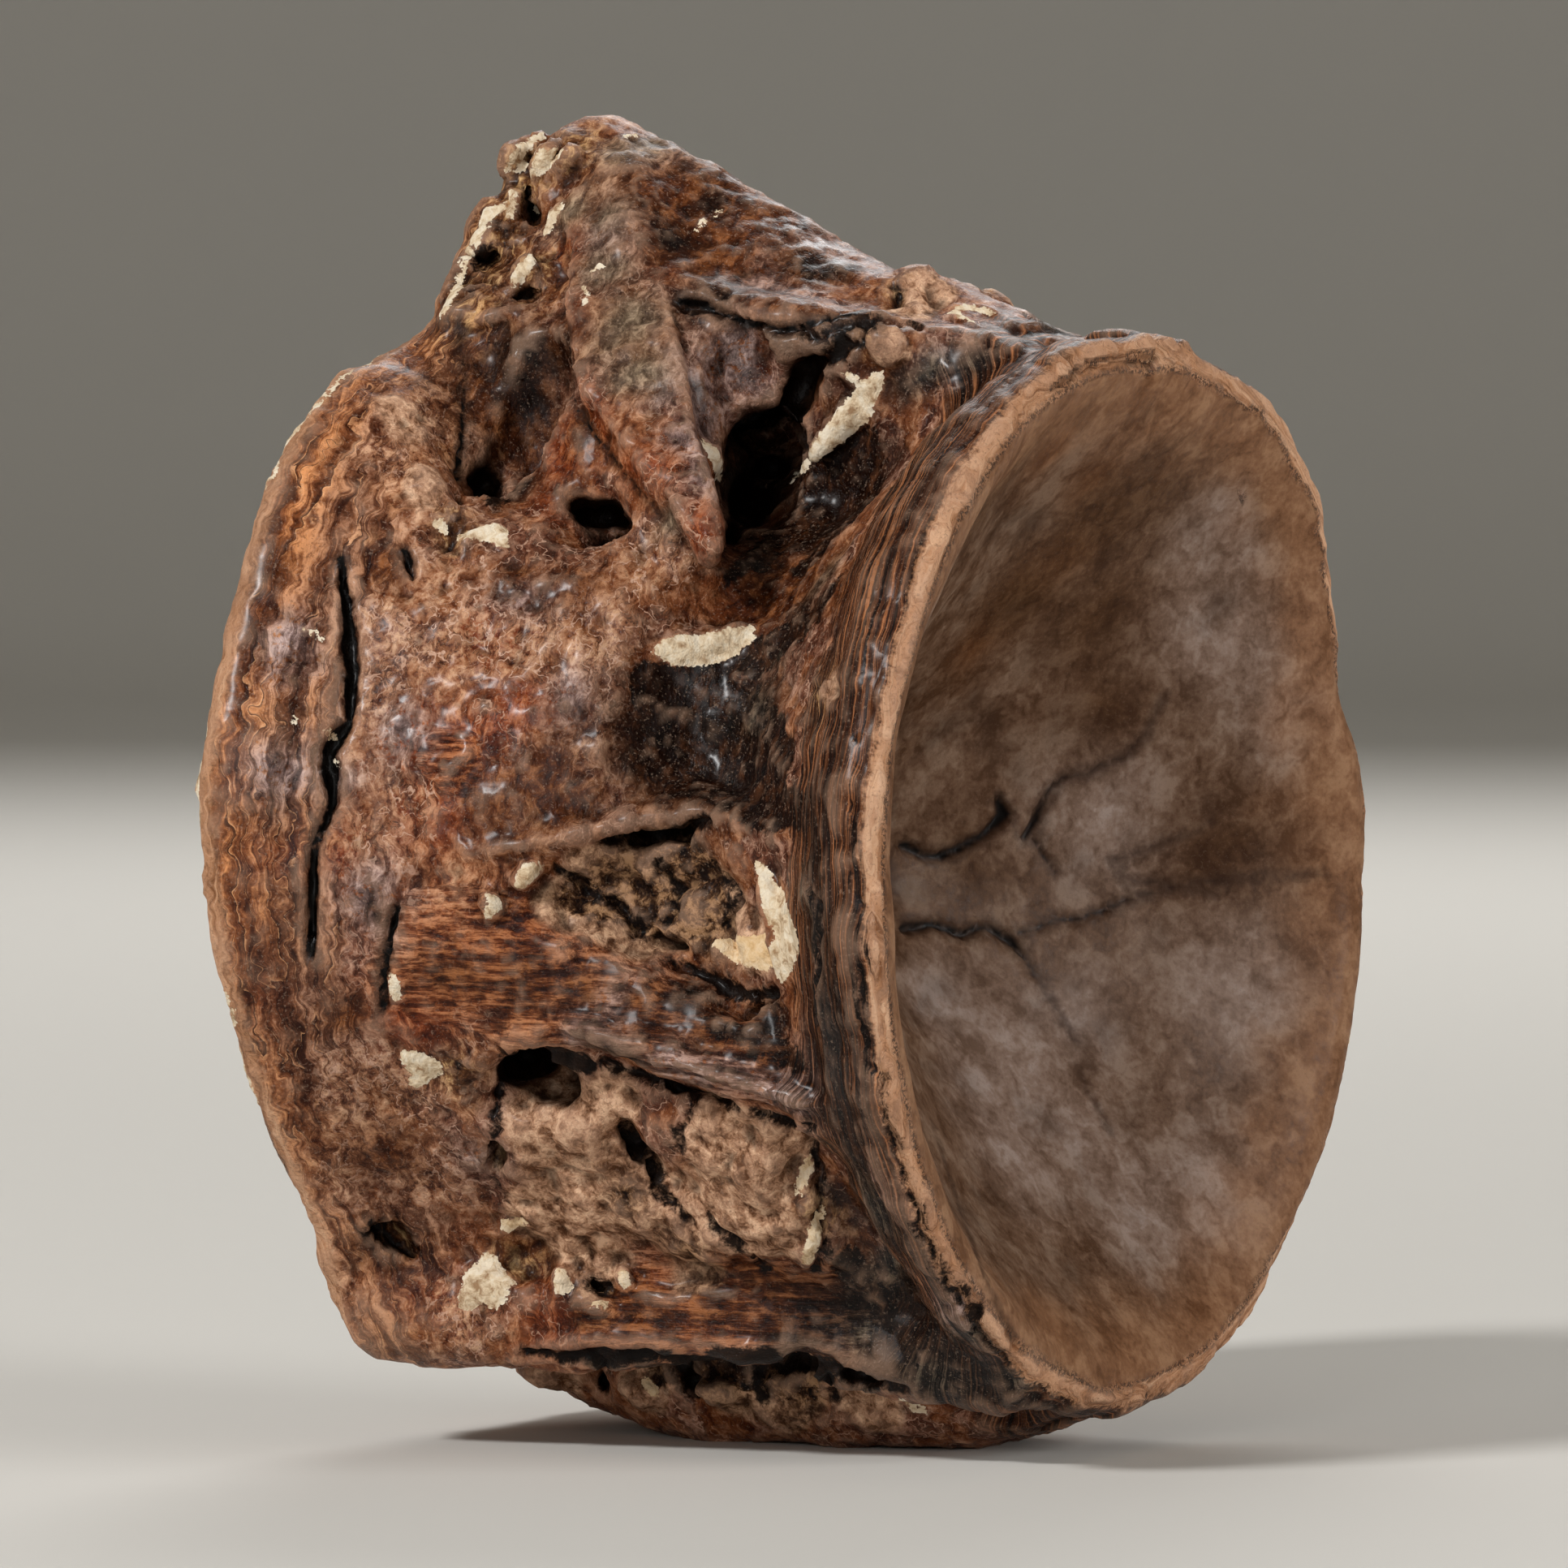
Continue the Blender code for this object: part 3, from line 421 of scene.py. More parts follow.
# Soft round dabs: middle in pixels and radius in millimetres. Most are broad changes of colour,
# and the others say where the bone is polished, fibrous, stony, broken or finely veined.
DABS = {
    "rust": [
        (706, 320, 0.5), (703, 370, 0.5), (705, 425, 0.5), (714, 480, 0.5), (742, 530, 0.5),
        (775, 575, 0.5), (808, 615, 0.5), (846, 655, 0.5), (566, 950, 1.7), (545, 1005, 1.4),
        (592, 900, 1.1), (640, 868, 1.1), (600, 790, 1.0), (405, 1060, 1.2), (560, 1180, 1.8),
        (640, 1160, 1.3), (960, 720, 1.6), (985, 650, 1.3), (940, 760, 1.0), (1315, 440, 2.6),
        (1245, 480, 1.6), (700, 320, 0.9), (704, 390, 0.9), (735, 500, 0.9), (800, 580, 0.9),
        (860, 650, 0.9), (760, 170, 0.7), (850, 1615, 1.8), (700, 1620, 1.6), (500, 1250, 1.3),
        (520, 1600, 1.3), (1400, 1700, 2.0), (1300, 1640, 1.4), (1500, 1640, 1.6), (700, 560, 1.2),
        (700, 610, 1.0), (345, 1060, 0.9), (330, 1220, 0.9), (850, 1150, 0.8), (1030, 560, 1.0),
        (1200, 800, 1.2), (1260, 730, 1.2), (1320, 680, 1.2), (830, 330, 0.5), (880, 260, 0.5),
        (520, 900, 1.1), (1300, 550, 1.5), (1350, 590, 1.3),
    ],
    "pale": [
        (430, 1340, 1.3), (480, 1400, 1.3), (520, 1340, 1.2), (450, 1460, 1.2), (530, 1460, 1.0),
        (470, 860, 1.6), (480, 960, 1.5), (520, 500, 1.8), (490, 570, 1.6), (540, 620, 1.4),
        (650, 780, 1.5), (560, 800, 1.5), (720, 810, 1.3), (760, 760, 0.9), (450, 1340, 1.5),
        (420, 1420, 1.4), (520, 1440, 1.6), (740, 1230, 1.3), (800, 1270, 1.2), (720, 900, 1.2),
        (700, 1000, 1.2), (620, 1000, 1.0), (560, 1100, 1.3), (450, 1050, 1.2), (560, 1640, 1.6),
        (430, 1600, 1.4), (640, 1240, 1.4), (500, 1180, 1.1), (620, 440, 0.8), (590, 460, 0.9),
        (800, 690, 1.2), (540, 720, 1.0), (1020, 850, 1.0), (460, 760, 1.4),
    ],
    # Lilac-grey bone, with painted highlights on the roof and the window's inner wall and painted
    # light on the cup's left wall, which the lamps leave in shade
    "lilac_and_painted_light": [
        (716, 1284, 0.6), (760, 1296, 0.7), (810, 1310, 0.7), (860, 1322, 0.7), (910, 1336, 0.7),
        (960, 1354, 0.7), (995, 1368, 0.5), (850, 470, 0.6), (862, 520, 0.6), (872, 570, 0.6),
        (880, 620, 0.5), (830, 430, 0.5), (350, 800, 1.1), (345, 950, 1.1), (940, 330, 1.4),
        (890, 340, 1.2), (760, 270, 1.3), (925, 318, 1.3), (938, 300, 0.6), (898, 440, 0.8),
        (905, 470, 0.6), (1170, 430, 0.6), (830, 240, 1.2), (820, 480, 0.8), (845, 540, 0.7),
        (862, 590, 0.6), (450, 1110, 1.1), (760, 1245, 1.2), (860, 1300, 1.2), (960, 1335, 1.1),
        (910, 430, 1.3), (880, 500, 1.1), (590, 1430, 1.2), (640, 730, 1.0), (1180, 1620, 1.4),
        (1070, 1450, 1.3), (1360, 1010, 2.2), (1510, 760, 2.4), (1250, 1300, 2.6),
        (1540, 1230, 2.8), (1160, 1240, 1.6), (1250, 1420, 2.2), (1590, 880, 1.8),
        (1500, 1480, 2.6), (1400, 1500, 2.0), (1330, 1400, 1.4), (1500, 640, 1.6),
        (1220, 1340, 1.6), (1330, 1250, 1.6), (700, 870, 0.9), (500, 900, 1.0), (420, 960, 0.8),
    ],
    # Darker bone, with painted shade under the brow, beside the window and under the ledge
    "dark": [
        (1000, 650, 2.2), (1060, 585, 2.0), (1010, 610, 2.0), (940, 660, 1.2), (960, 590, 1.2),
        (1040, 500, 0.9), (1010, 420, 1.0), (960, 1660, 0.8), (860, 900, 2.4), (930, 870, 1.8),
        (850, 970, 1.8), (800, 930, 1.4), (900, 985, 1.3), (985, 760, 1.2), (1010, 640, 1.3),
        (1060, 560, 1.0), (1000, 1000, 1.2), (1010, 1120, 1.2), (1020, 1240, 1.3),
        (1050, 1380, 1.5), (1080, 1500, 1.8), (1120, 1600, 1.9), (1200, 1680, 1.9),
        (1120, 1690, 1.5), (1290, 1710, 1.4), (1000, 1630, 1.4), (640, 430, 1.4), (660, 500, 1.1),
        (700, 430, 0.9), (950, 1008, 0.9), (1110, 1650, 1.2), (1240, 1700, 1.0), (1010, 1300, 0.8),
        (640, 600, 0.9), (830, 290, 0.9), (1010, 330, 0.9), (880, 372, 0.8), (1030, 1480, 1.0),
        (1050, 1600, 1.2), (960, 1250, 0.9), (980, 420, 1.0), (1060, 410, 1.0), (850, 380, 0.8),
        (870, 1220, 1.1), (760, 1300, 0.9), (480, 1520, 1.0), (950, 430, 0.8),
    ],
    "slate": [
        (1150, 450, 0.8), (1118, 470, 0.6), (1186, 438, 0.6), (1078, 1485, 1.2), (1090, 1560, 1.1),
        (1200, 1640, 1.0), (1060, 1655, 1.1), (1150, 1700, 1.2), (1210, 620, 0.9), (930, 880, 0.9),
        (1260, 1700, 1.0),
    ],
    "olive": [
        (880, 280, 0.9), (850, 1100, 1.0), (755, 260, 0.9), (750, 200, 1.0), (700, 260, 0.8),
        (860, 220, 0.9), (1210, 630, 1.8), (1250, 740, 2.2), (1350, 640, 2.2), (1420, 600, 2.2),
        (1350, 760, 2.0), (1370, 870, 1.8), (1500, 1050, 1.8), (1260, 560, 1.4), (1190, 1060, 1.0),
        (775, 400, 1.5), (792, 462, 1.1), (745, 330, 1.0), (820, 640, 0.7), (1010, 720, 1.0),
    ],
    "gloss": [
        (870, 900, 2.6), (930, 320, 1.8), (900, 440, 1.8), (880, 510, 1.2), (720, 1290, 0.7),
        (960, 1352, 0.7), (620, 900, 1.6), (700, 760, 1.4), (1060, 1500, 2.4), (1130, 1640, 2.4),
        (340, 900, 2.4), (340, 1150, 2.4), (985, 660, 2.0), (850, 1615, 2.4), (1000, 1100, 1.8),
        (650, 440, 1.2), (350, 700, 2.0), (1150, 450, 1.2), (470, 880, 1.4), (560, 1000, 1.2),
        (1020, 1300, 1.8),
    ],
    "fibre": [
        (520, 1180, 2.2), (620, 1190, 2.2), (720, 1210, 2.0), (820, 1260, 2.0), (920, 1300, 1.8),
        (780, 1620, 2.4), (900, 1620, 2.2), (1010, 1620, 2.0), (640, 1230, 1.8), (560, 930, 1.2),
    ],
    "stone": [
        (740, 1095, 1.7), (830, 1085, 1.8), (790, 1140, 1.6), (880, 1120, 1.5), (690, 1105, 1.0),
        (930, 1160, 1.2), (680, 1370, 1.9), (720, 1450, 2.1), (820, 1500, 1.9), (900, 1420, 2.1),
        (965, 1400, 1.3), (930, 1520, 1.7), (860, 1560, 1.2), (660, 1510, 1.4), (760, 1345, 1.0),
        (740, 1550, 1.2), (680, 1695, 1.3), (780, 1712, 1.4), (880, 1725, 1.4), (980, 1722, 1.5),
        (1080, 1728, 1.2), (500, 520, 1.2), (520, 590, 1.0), (1030, 845, 0.8), (1150, 365, 1.0),
        (1098, 425, 0.7),
    ],
    "broken": [
        (650, 220, 1.2), (620, 290, 1.3), (660, 330, 1.1), (590, 350, 1.1), (690, 190, 0.8),
        (560, 380, 0.8), (1130, 360, 0.9), (1080, 400, 0.8), (600, 610, 0.9), (560, 650, 0.8),
        (740, 1590, 0.9), (640, 1560, 0.9), (560, 1320, 0.9), (620, 1420, 0.8), (1010, 850, 0.8),
        (1420, 425, 0.8), (480, 1510, 0.9), (1000, 1500, 0.9),
    ],
    "umber": [
        (880, 330, 1.6), (960, 380, 1.2), (820, 300, 1.2), (1060, 395, 1.0), (480, 1535, 1.3),
        (330, 700, 0.9), (900, 255, 1.4), (990, 335, 1.0), (1040, 730, 1.4), (960, 745, 1.2),
        (1100, 660, 1.0), (590, 480, 1.0), (760, 1090, 1.2), (840, 1070, 1.2), (800, 1130, 1.2),
        (880, 1100, 1.2), (860, 1145, 1.2), (700, 1100, 0.8), (820, 240, 1.4), (900, 300, 1.2),
        (1000, 700, 1.6), (940, 730, 1.4), (640, 470, 1.5), (664, 550, 1.3), (612, 540, 1.0),
        (710, 600, 0.8), (722, 540, 0.7), (560, 1200, 1.2), (640, 1212, 1.2), (720, 1225, 1.0),
        (800, 1245, 1.0), (880, 1262, 1.2), (950, 1300, 1.0), (720, 1616, 1.2), (800, 1622, 1.2),
        (880, 1620, 1.2), (960, 1614, 1.2), (600, 985, 1.1), (664, 962, 1.1), (704, 995, 0.9),
        (622, 1034, 0.8), (690, 930, 0.7), (900, 770, 0.9), (930, 700, 1.0), (700, 712, 1.2),
        (640, 700, 0.8), (765, 1480, 0.8), (850, 1545, 1.2), (930, 1560, 0.9), (485, 1420, 1.1),
        (650, 1540, 0.9), (880, 1716, 1.4), (1000, 1720, 1.4), (640, 1700, 0.8), (430, 1250, 0.8),
        (620, 1120, 0.8), (480, 700, 0.8), (900, 560, 0.8),
    ],
    "net": [
        (700, 800, 1.4), (735, 850, 1.0), (650, 735, 1.2), (720, 745, 1.1), (600, 700, 1.0),
        (590, 1240, 0.9), (780, 1250, 0.9), (600, 770, 0.9), (500, 940, 0.9), (470, 1080, 0.9),
        (860, 250, 0.9), (960, 350, 0.8), (780, 700, 1.2), (640, 820, 1.0), (560, 760, 1.1),
        (700, 690, 1.1), (520, 1400, 1.1), (450, 1420, 0.9),
    ],
}


# Placing by the photographed side


def sight():
    """The eye's place in millimetres, and the ways to the picture's right, up and to the eye."""
    azimuth, elevation = math.radians(VIEW_AZIMUTH), math.radians(VIEW_ELEVATION)
    flat = math.cos(elevation)
    back = Vector((math.sin(azimuth) * flat, -math.cos(azimuth) * flat, math.sin(elevation)))
    right = Vector((math.cos(azimuth), math.sin(azimuth), 0))
    eye = right * AIM_OFFSET + Vector((0, 0, AIM_HEIGHT)) + back * VIEW_DISTANCE
    return eye, right, back.cross(right), back


EYE, RIGHT, UP, BACK = sight()


def ray_to(u, v):
    """The direction from the eye through a pixel."""
    middle = PIXELS / 2
    across = (u - middle) / PIXELS_PER_MM
    rise = (middle - v) / PIXELS_PER_MM
    return (RIGHT * across + UP * rise - BACK * VIEW_DISTANCE).normalized()


def at_depth(u, v, y):
    """The point behind a pixel that lies at a distance from the middle plane."""
    ray = ray_to(u, v)
    return EYE + ray * ((y - EYE.y) / ray.y)


def in_cup(point):
    """Whether a point of the surface lies in one of the two cups."""
    up = point.z - AXIS_HEIGHT + FRONT_DROP * point.x
    mouth = np.interp(abs(point.x), CUP_STATIONS, CUP_PROFILE)
    return math.hypot(point.y, up) < mouth + 0.6


class Skin:
    """The bone's surface, for laying marks on it."""

    def __init__(self, obj):
        bpy.context.view_layer.update()
        self.tree = BVHTree.FromObject(obj, bpy.context.evaluated_depsgraph_get())

    def seen(self, u, v):
        """The point of the surface that shows at a pixel, or beside the outline the nearest."""
        ray = ray_to(u, v)
        hit = self.tree.ray_cast(EYE * MM, ray)[0]
        if hit is None:
            passing = [(EYE + ray * (VIEW_DISTANCE + step)) * MM for step in range(-16, 18, 2)]
            found = [self.tree.find_nearest(point) for point in passing]
            hit = min(found, key=lambda touch: touch[3])[0]
        return hit / MM

    def far(self, point):
        """The place that answers to a near one: in the rear cup for a cup, else the far side."""
        if in_cup(point):
            back = Vector((-point.x, -point.y, point.z + 2 * FRONT_DROP * point.x))
            return self.tree.find_nearest(back * MM)[0] / MM
        turn = Matrix.Rotation(math.radians(FAR_TURN), 3, "X")
        axis = Vector((0, 0, AXIS_HEIGHT))
        across = Vector((point.x, -point.y, point.z))
        return self.tree.find_nearest((turn @ (across - axis) + axis) * MM)[0] / MM


# Mesh steps


def deselect():
    for obj in bpy.context.selected_objects:
        obj.select_set(False)


def take_up(obj):
    deselect()
    obj.select_set(True)
    bpy.context.view_layer.objects.active = obj


def finish_with(obj, kind, **settings):
    """Adds a modifier with these settings and applies it."""
    take_up(obj)
    step = obj.modifiers.new(kind.lower(), kind)
    for name, value in settings.items():
        setattr(step, name, value)
    bpy.ops.object.modifier_apply(modifier=step.name)


def joined(objects):
    deselect()
    for obj in objects:
        obj.select_set(True)
    bpy.context.view_layer.objects.active = objects[0]
    bpy.ops.object.join()
    return objects[0]


def places(obj):
    found = np.empty(len(obj.data.vertices) * 3)
    obj.data.vertices.foreach_get("co", found)
    return found.reshape(-1, 3) / MM


def put_places(obj, points):
    obj.data.vertices.foreach_set("co", (points * MM).ravel())
    obj.data.update()


def normals(obj):
    found = np.empty(len(obj.data.vertices) * 3)
    obj.data.vertex_normals.foreach_get("vector", found)
    return found.reshape(-1, 3)


def blob(name, centre, radii, turn, mirrored):
    """A rounded lump, its width and height along the picture and its depth towards the eye."""
    deselect()
    bpy.ops.mesh.primitive_ico_sphere_add(subdivisions=3, radius=1)
    lump = bpy.context.active_object
    lump.name = name
    tilt = math.radians(turn)
    across = RIGHT * math.cos(tilt) + UP * math.sin(tilt)
    rise = UP * math.cos(tilt) - RIGHT * math.sin(tilt)
    shape = Matrix((across * radii[0], rise * radii[1], BACK * radii[2])).transposed()
    if mirrored:
        shape = Matrix.Diagonal((1, -1, 1)) @ shape
    lump.data.transform(Matrix.Translation(centre * MM) @ shape.to_4x4() @ Matrix.Scale(MM, 4))
    if shape.determinant() < 0:
        lump.data.flip_normals()
    return lump


def bone_copy():
    """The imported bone's shape as a new piece, its loose triangles merged."""
    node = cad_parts["vertebra"]
    bone = bpy.data.objects.new("bone", node.data.copy())
    bone.data.materials.clear()
    bpy.context.scene.collection.objects.link(bone)
    take_up(bone)
    bpy.ops.object.mode_set(mode="EDIT")
    bpy.ops.mesh.select_all(action="SELECT")
    bpy.ops.mesh.remove_doubles(threshold=1e-7)
    bpy.ops.object.mode_set(mode="OBJECT")
    return bone


def blobs(table, skin):
    """The lumps of a table, and every second one that sits on the surface on the far side too."""
    made = []
    for index, (name, (u, v, y, wide, high, turn, deep)) in enumerate(table.items()):
        centre = skin.seen(u, v) if y is None else at_depth(u, v, y)
        radii = (wide / PIXELS_PER_MM, high / PIXELS_PER_MM, deep)
        made.append(blob(name, centre, radii, turn, False))
        if index % 2 and y is None:
            made.append(blob(name + "_far", skin.far(centre), radii, turn, True))
    return made


def dig(bone, skin):
    """Cuts the holes and gaps."""
    cutter = joined(blobs(DUG, skin))
    finish_with(cutter, "REMESH", mode="VOXEL", voxel_size=FINE_VOXEL * MM)
    finish_with(bone, "BOOLEAN", operation="DIFFERENCE", solver="MANIFOLD", object=cutter)
    bpy.data.objects.remove(cutter)


def strip(name, thickness, rows, mirrored):
    """A smooth plate through rows of points."""
    deselect()
    bpy.ops.mesh.primitive_grid_add(x_subdivisions=len(rows[0]) - 1, y_subdivisions=len(rows) - 1)
    plate = bpy.context.active_object
    plate.name = name
    corners = np.array([point for row in rows for point in row])
    if mirrored:
        corners[:, 1] *= -1
    put_places(plate, corners)
    finish_with(plate, "SUBSURF", levels=3, render_levels=3)
    finish_with(plate, "SOLIDIFY", thickness=thickness * MM, offset=0.0)
    bpy.ops.object.mode_set(mode="EDIT")
    bpy.ops.mesh.select_all(action="SELECT")
    bpy.ops.mesh.normals_make_consistent(inside=False)
    bpy.ops.object.mode_set(mode="OBJECT")
    return plate


def grow(bone, skin):
    """Sets the lumps, shards and strips on the bone."""
    def standing_off(u, v, off):
        return skin.seen(u, v) - ray_to(u, v) * off

    pieces = [bone]
    for table, place in ((STRIPS, at_depth), (LEDGES, standing_off)):
        for name, (thickness, rows) in table.items():
            placed = [[place(*point) for point in row] for row in rows]
            pieces.append(strip(name, thickness, placed, False))
            pieces.append(strip(name + "_far", thickness, placed, True))
    joined(pieces + blobs(GROWN, skin))


# Noise and distances, over many points at once


def chance(cells, seed):
    """A repeatable number from 0 to 1 for every whole-numbered cell."""
    x, y, z = (cells[:, i].astype(np.int64) for i in range(3))
    mixed = (x * 73856093) ^ (y * 19349663) ^ (z * 83492791) ^ (seed * 50331653)
    mixed = (mixed ^ (mixed >> 15)) * 2246822519 & 0xFFFFFFFF
    mixed = (mixed ^ (mixed >> 13)) * 3266489917 & 0xFFFFFFFF
    return (mixed ^ (mixed >> 16)) / 0xFFFFFFFF


def swell(points, size, seed):
    """Smooth noise from -1 to 1 with bumps about this size."""
    scaled = points / size
    base = np.floor(scaled)
    part = scaled - base
    part = part * part * (3 - 2 * part)
    total = np.zeros(len(points))
    for corner in itertools.product((0, 1), repeat=3):
        share = np.prod(np.where(corner, part, 1 - part), axis=1)
        total += share * chance(base + corner, seed)
    return 2 * total - 1


def rough(points, size, seed, layers=3):
    """Noise with finer noise on it."""
    return sum(swell(points, size / 2**i, seed + i) / 2**i for i in range(layers))


def cobbles(points, size, seed):
    """For cells of this size: how far the nearest middle is, and how much further the next."""
    scaled = points / size
    base = np.floor(scaled)
    nearest = np.full(len(points), 9.0)
    second = np.full(len(points), 9.0)
    for step in itertools.product((-1, 0, 1), repeat=3):
        cell = base + step
        middle = cell + np.stack([chance(cell, seed + i) for i in range(3)], axis=1)
        away = np.linalg.norm(scaled - middle, axis=1)
        second = np.minimum(second, np.maximum(nearest, away))
        nearest = np.minimum(nearest, away)
    return nearest, second - nearest


def ramp(value, low, high):
    """A smooth step from 0 at low to 1 at high, or falling where low is above high."""
    part = np.clip((value - low) / (high - low), 0, 1)
    return part * part * (3 - 2 * part)


def steps_of(value, riser):
    """Flat steps, one to every whole number, each with a rounded riser of this share."""
    tread = np.floor(value)
    return tread + ramp(value - tread, 0.0, riser)


def gap_to(points, chain, reach):
    """How far each point is from a chain of balls joined by cones, negative inside, up to reach."""
    gap = np.full(len(points), float(reach))
    middles, radii = chain[:, :3], chain[:, 3]
    margin = reach + radii.max()
    low, high = middles.min(axis=0) - margin, middles.max(axis=0) + margin
    near = np.all((points > low) & (points < high), axis=1)
    close = points[near]
    best = np.full(len(close), float(reach))
    for start, end in zip(chain[:-1], chain[1:]):
        run = end[:3] - start[:3]
        part = np.clip((close - start[:3]) @ run / max(run @ run, 1e-6), 0, 1)
        away = np.linalg.norm(close - start[:3] - part[:, None] * run, axis=1)
        best = np.minimum(best, away - start[3] - part * (end[3] - start[3]))
    gap[near] = best
    return gap


# Marks


def laid(skin, line, step=10):
    """A chain of pixels laid on the near side and its like on the far side, with points between."""
    dense = []
    for (u0, v0, w0), (u1, v1, w1) in zip(line[:-1], line[1:]):
        count = max(1, round(math.hypot(u1 - u0, v1 - v0) / step))
        for i in range(count):
            part = i / count
            dense.append((u0 + part * (u1 - u0), v0 + part * (v1 - v0), w0 + part * (w1 - w0)))
    dense.append(line[-1])
    near, far = [], []
    for u, v, width in dense:
        point = skin.seen(u, v)
        radius = width / PIXELS_PER_MM
        near.append((*point, radius))
        far.append((*skin.far(point), radius))
    return np.array(near), np.array(far)


class Marks:
    """The cracks, ridges, chalk, painted shade and dabs of colour, some painted light, as places on
    the bone.
    """

    def __init__(self, skin):
        self.cracks = self.chains(skin, CRACKS)
        self.chalk = self.chains(skin, CHALK)
        self.shade = self.chains(skin, SHADE)
        self.deep = self.chains(skin, DEEP)
        self.ridges = [
            (height, chain)
            for height, line in RIDGES.values()
            for chain in laid(skin, line)
        ]
        self.dabs = {name: self.spots(skin, table) for name, table in DABS.items()}

    def chains(self, skin, table):
        """Every line laid on the near side, and all but each third one on the far side."""
        found = []
        for index, line in enumerate(table.values()):
            near, far = laid(skin, line)
            found.append(near)
            if index % 3:
                found.append(far)
        return found

    def spots(self, skin, table):
        found = []
        for u, v, radius in table:
            point = skin.seen(u, v)
            found.append((*point, radius))
            found.append((*skin.far(point), radius))
        return np.array(found)

    def gap(self, points, chains, reach):
        gap = np.full(len(points), float(reach))
        for chain in chains:
            gap = np.minimum(gap, gap_to(points, chain, reach))
        return gap

    def dab(self, points, name):
        """How strongly a colour is dabbed on, from 0 to 1, with wandering edges."""
        wander = swirl(points, 1.3, 70, 0.5)
        bare = np.ones(len(points))
        for spot in self.dabs[name]:
            away = np.linalg.norm(wander - spot[:3], axis=1) / spot[3]
            bare *= 1 - np.exp(-(away**2))
        return 1 - bare


# The bone's own places


class Lie:
    """Where points are on the spool: along its axis, round it, out from it and in which parts."""

    def __init__(self, points, facing):
        self.along = points[:, 0]
        side = points[:, 1]
        up = points[:, 2] - AXIS_HEIGHT + FRONT_DROP * points[:, 0]
        self.out = np.hypot(side, up)
        self.angle = np.arctan2(side, up)
        self.outward = (facing[:, 1] * side + facing[:, 2] * up) / np.maximum(self.out, 0.1)
        self.to_lip, self.behind = self.lip_distance()
        mouth = np.interp(np.abs(self.along), CUP_STATIONS, CUP_PROFILE)
        below = ramp(self.out - mouth, 0.75, 0.35)
        facing_in = ramp(self.out - mouth, 2.8, 2.0) * ramp(self.outward, -0.05, -0.3)
        self.cup = np.maximum(below, facing_in) * ramp(np.abs(self.along), 0.5, 1.2)

    def lip_distance(self):
        """How far each point is from the crest of its own rim, and how far behind it."""
        turns = RIM_TURNS
        round_it = (self.angle + math.pi) / (2 * math.pi) * turns
        step = np.floor(round_it).astype(int) % turns
        line = np.arange(-1, turns + 1)
        found = np.full(len(self.along), 99.0)
        behind = found.copy()
        for end in (1, -1):
            reach = self.along * end
            crest_x, crest_r = np.empty(turns), np.empty(turns)
            for i in range(turns):
                mine = np.where((step == i) & (reach > RIM_ALONG) & (self.out > RIM_OUT))[0]
                best = mine[np.argmax(reach[mine])]
                crest_x[i], crest_r[i] = reach[best], self.out[best]
            x, r = (
                np.interp(round_it - 0.5, line, np.pad(smooth_round(crest), 1, mode="wrap"))
                for crest in (crest_x, crest_r)
            )
            away = np.hypot(reach - x, self.out - r)
            found = np.where(reach > 0, away, found)
            behind = np.where(reach > 0, x - reach, behind)
        return found, behind


def smooth_round(values, times=3):
    """Evens out a row of numbers that goes round."""
    for _ in range(times):
        values = (np.roll(values, 1) + 2 * values + np.roll(values, -1)) / 4
    return values


def hollows_of(obj, rounds):
    """How deep each vertex lies below the surface evened out over some rounds, in millimetres."""
    even = obj.copy()
    even.data = obj.data.copy()
    bpy.context.scene.collection.objects.link(even)
    finish_with(even, "SMOOTH", factor=0.5, iterations=rounds)
    depth = np.einsum("ij,ij->i", places(even) - places(obj), normals(even))
    bpy.data.objects.remove(even)
    return depth


def shelter(bone):
    """How much of the view out from each vertex the bone itself shuts off nearby, from 0 to 1."""
    bpy.context.view_layer.update()
    tree = BVHTree.FromObject(bone, bpy.context.evaluated_depsgraph_get())
    facing = normals(bone)
    starts = (places(bone) + 0.1 * facing) * MM
    shut = np.zeros(len(starts))
    total = np.zeros(len(starts))
    for step in range(SHELTER_RAYS):
        height = 1 - (2 * step + 1) / SHELTER_RAYS
        turn = step * GOLDEN_ANGLE
        flat = math.sqrt(1 - height * height)
        way = np.array([flat * math.cos(turn), flat * math.sin(turn), height])
        share = facing @ way
        outer = np.where(share > 0.1)[0]
        total[outer] += share[outer]
        aim = Vector(way)
        for index, start in zip(outer.tolist(), starts[outer].tolist()):
            if tree.ray_cast(start, aim, SHELTER_REACH * MM)[0] is not None:
                shut[index] += share[index]
    return evened(bone, shut / np.maximum(total, 1e-3), 2)


def evened(bone, values, rounds):
    """Values at the vertices, each blended with those of its neighbours."""
    ends = np.empty(2 * len(bone.data.edges), dtype=np.int32)
    bone.data.edges.foreach_get("vertices", ends)
    first, second = ends[0::2], ends[1::2]
    count = len(values)
    near = np.bincount(first, minlength=count) + np.bincount(second, minlength=count)
    for _ in range(rounds):
        heap = np.bincount(first, values[second], count) + np.bincount(second, values[first], count)
        values = 0.5 * values + 0.5 * heap / near
    return values


def swirl(points, size, seed, reach):
    """The points, each moved by smooth noise up to about this reach."""
    return points + reach * np.stack([swell(points, size, seed + i) for i in range(3)], axis=1)


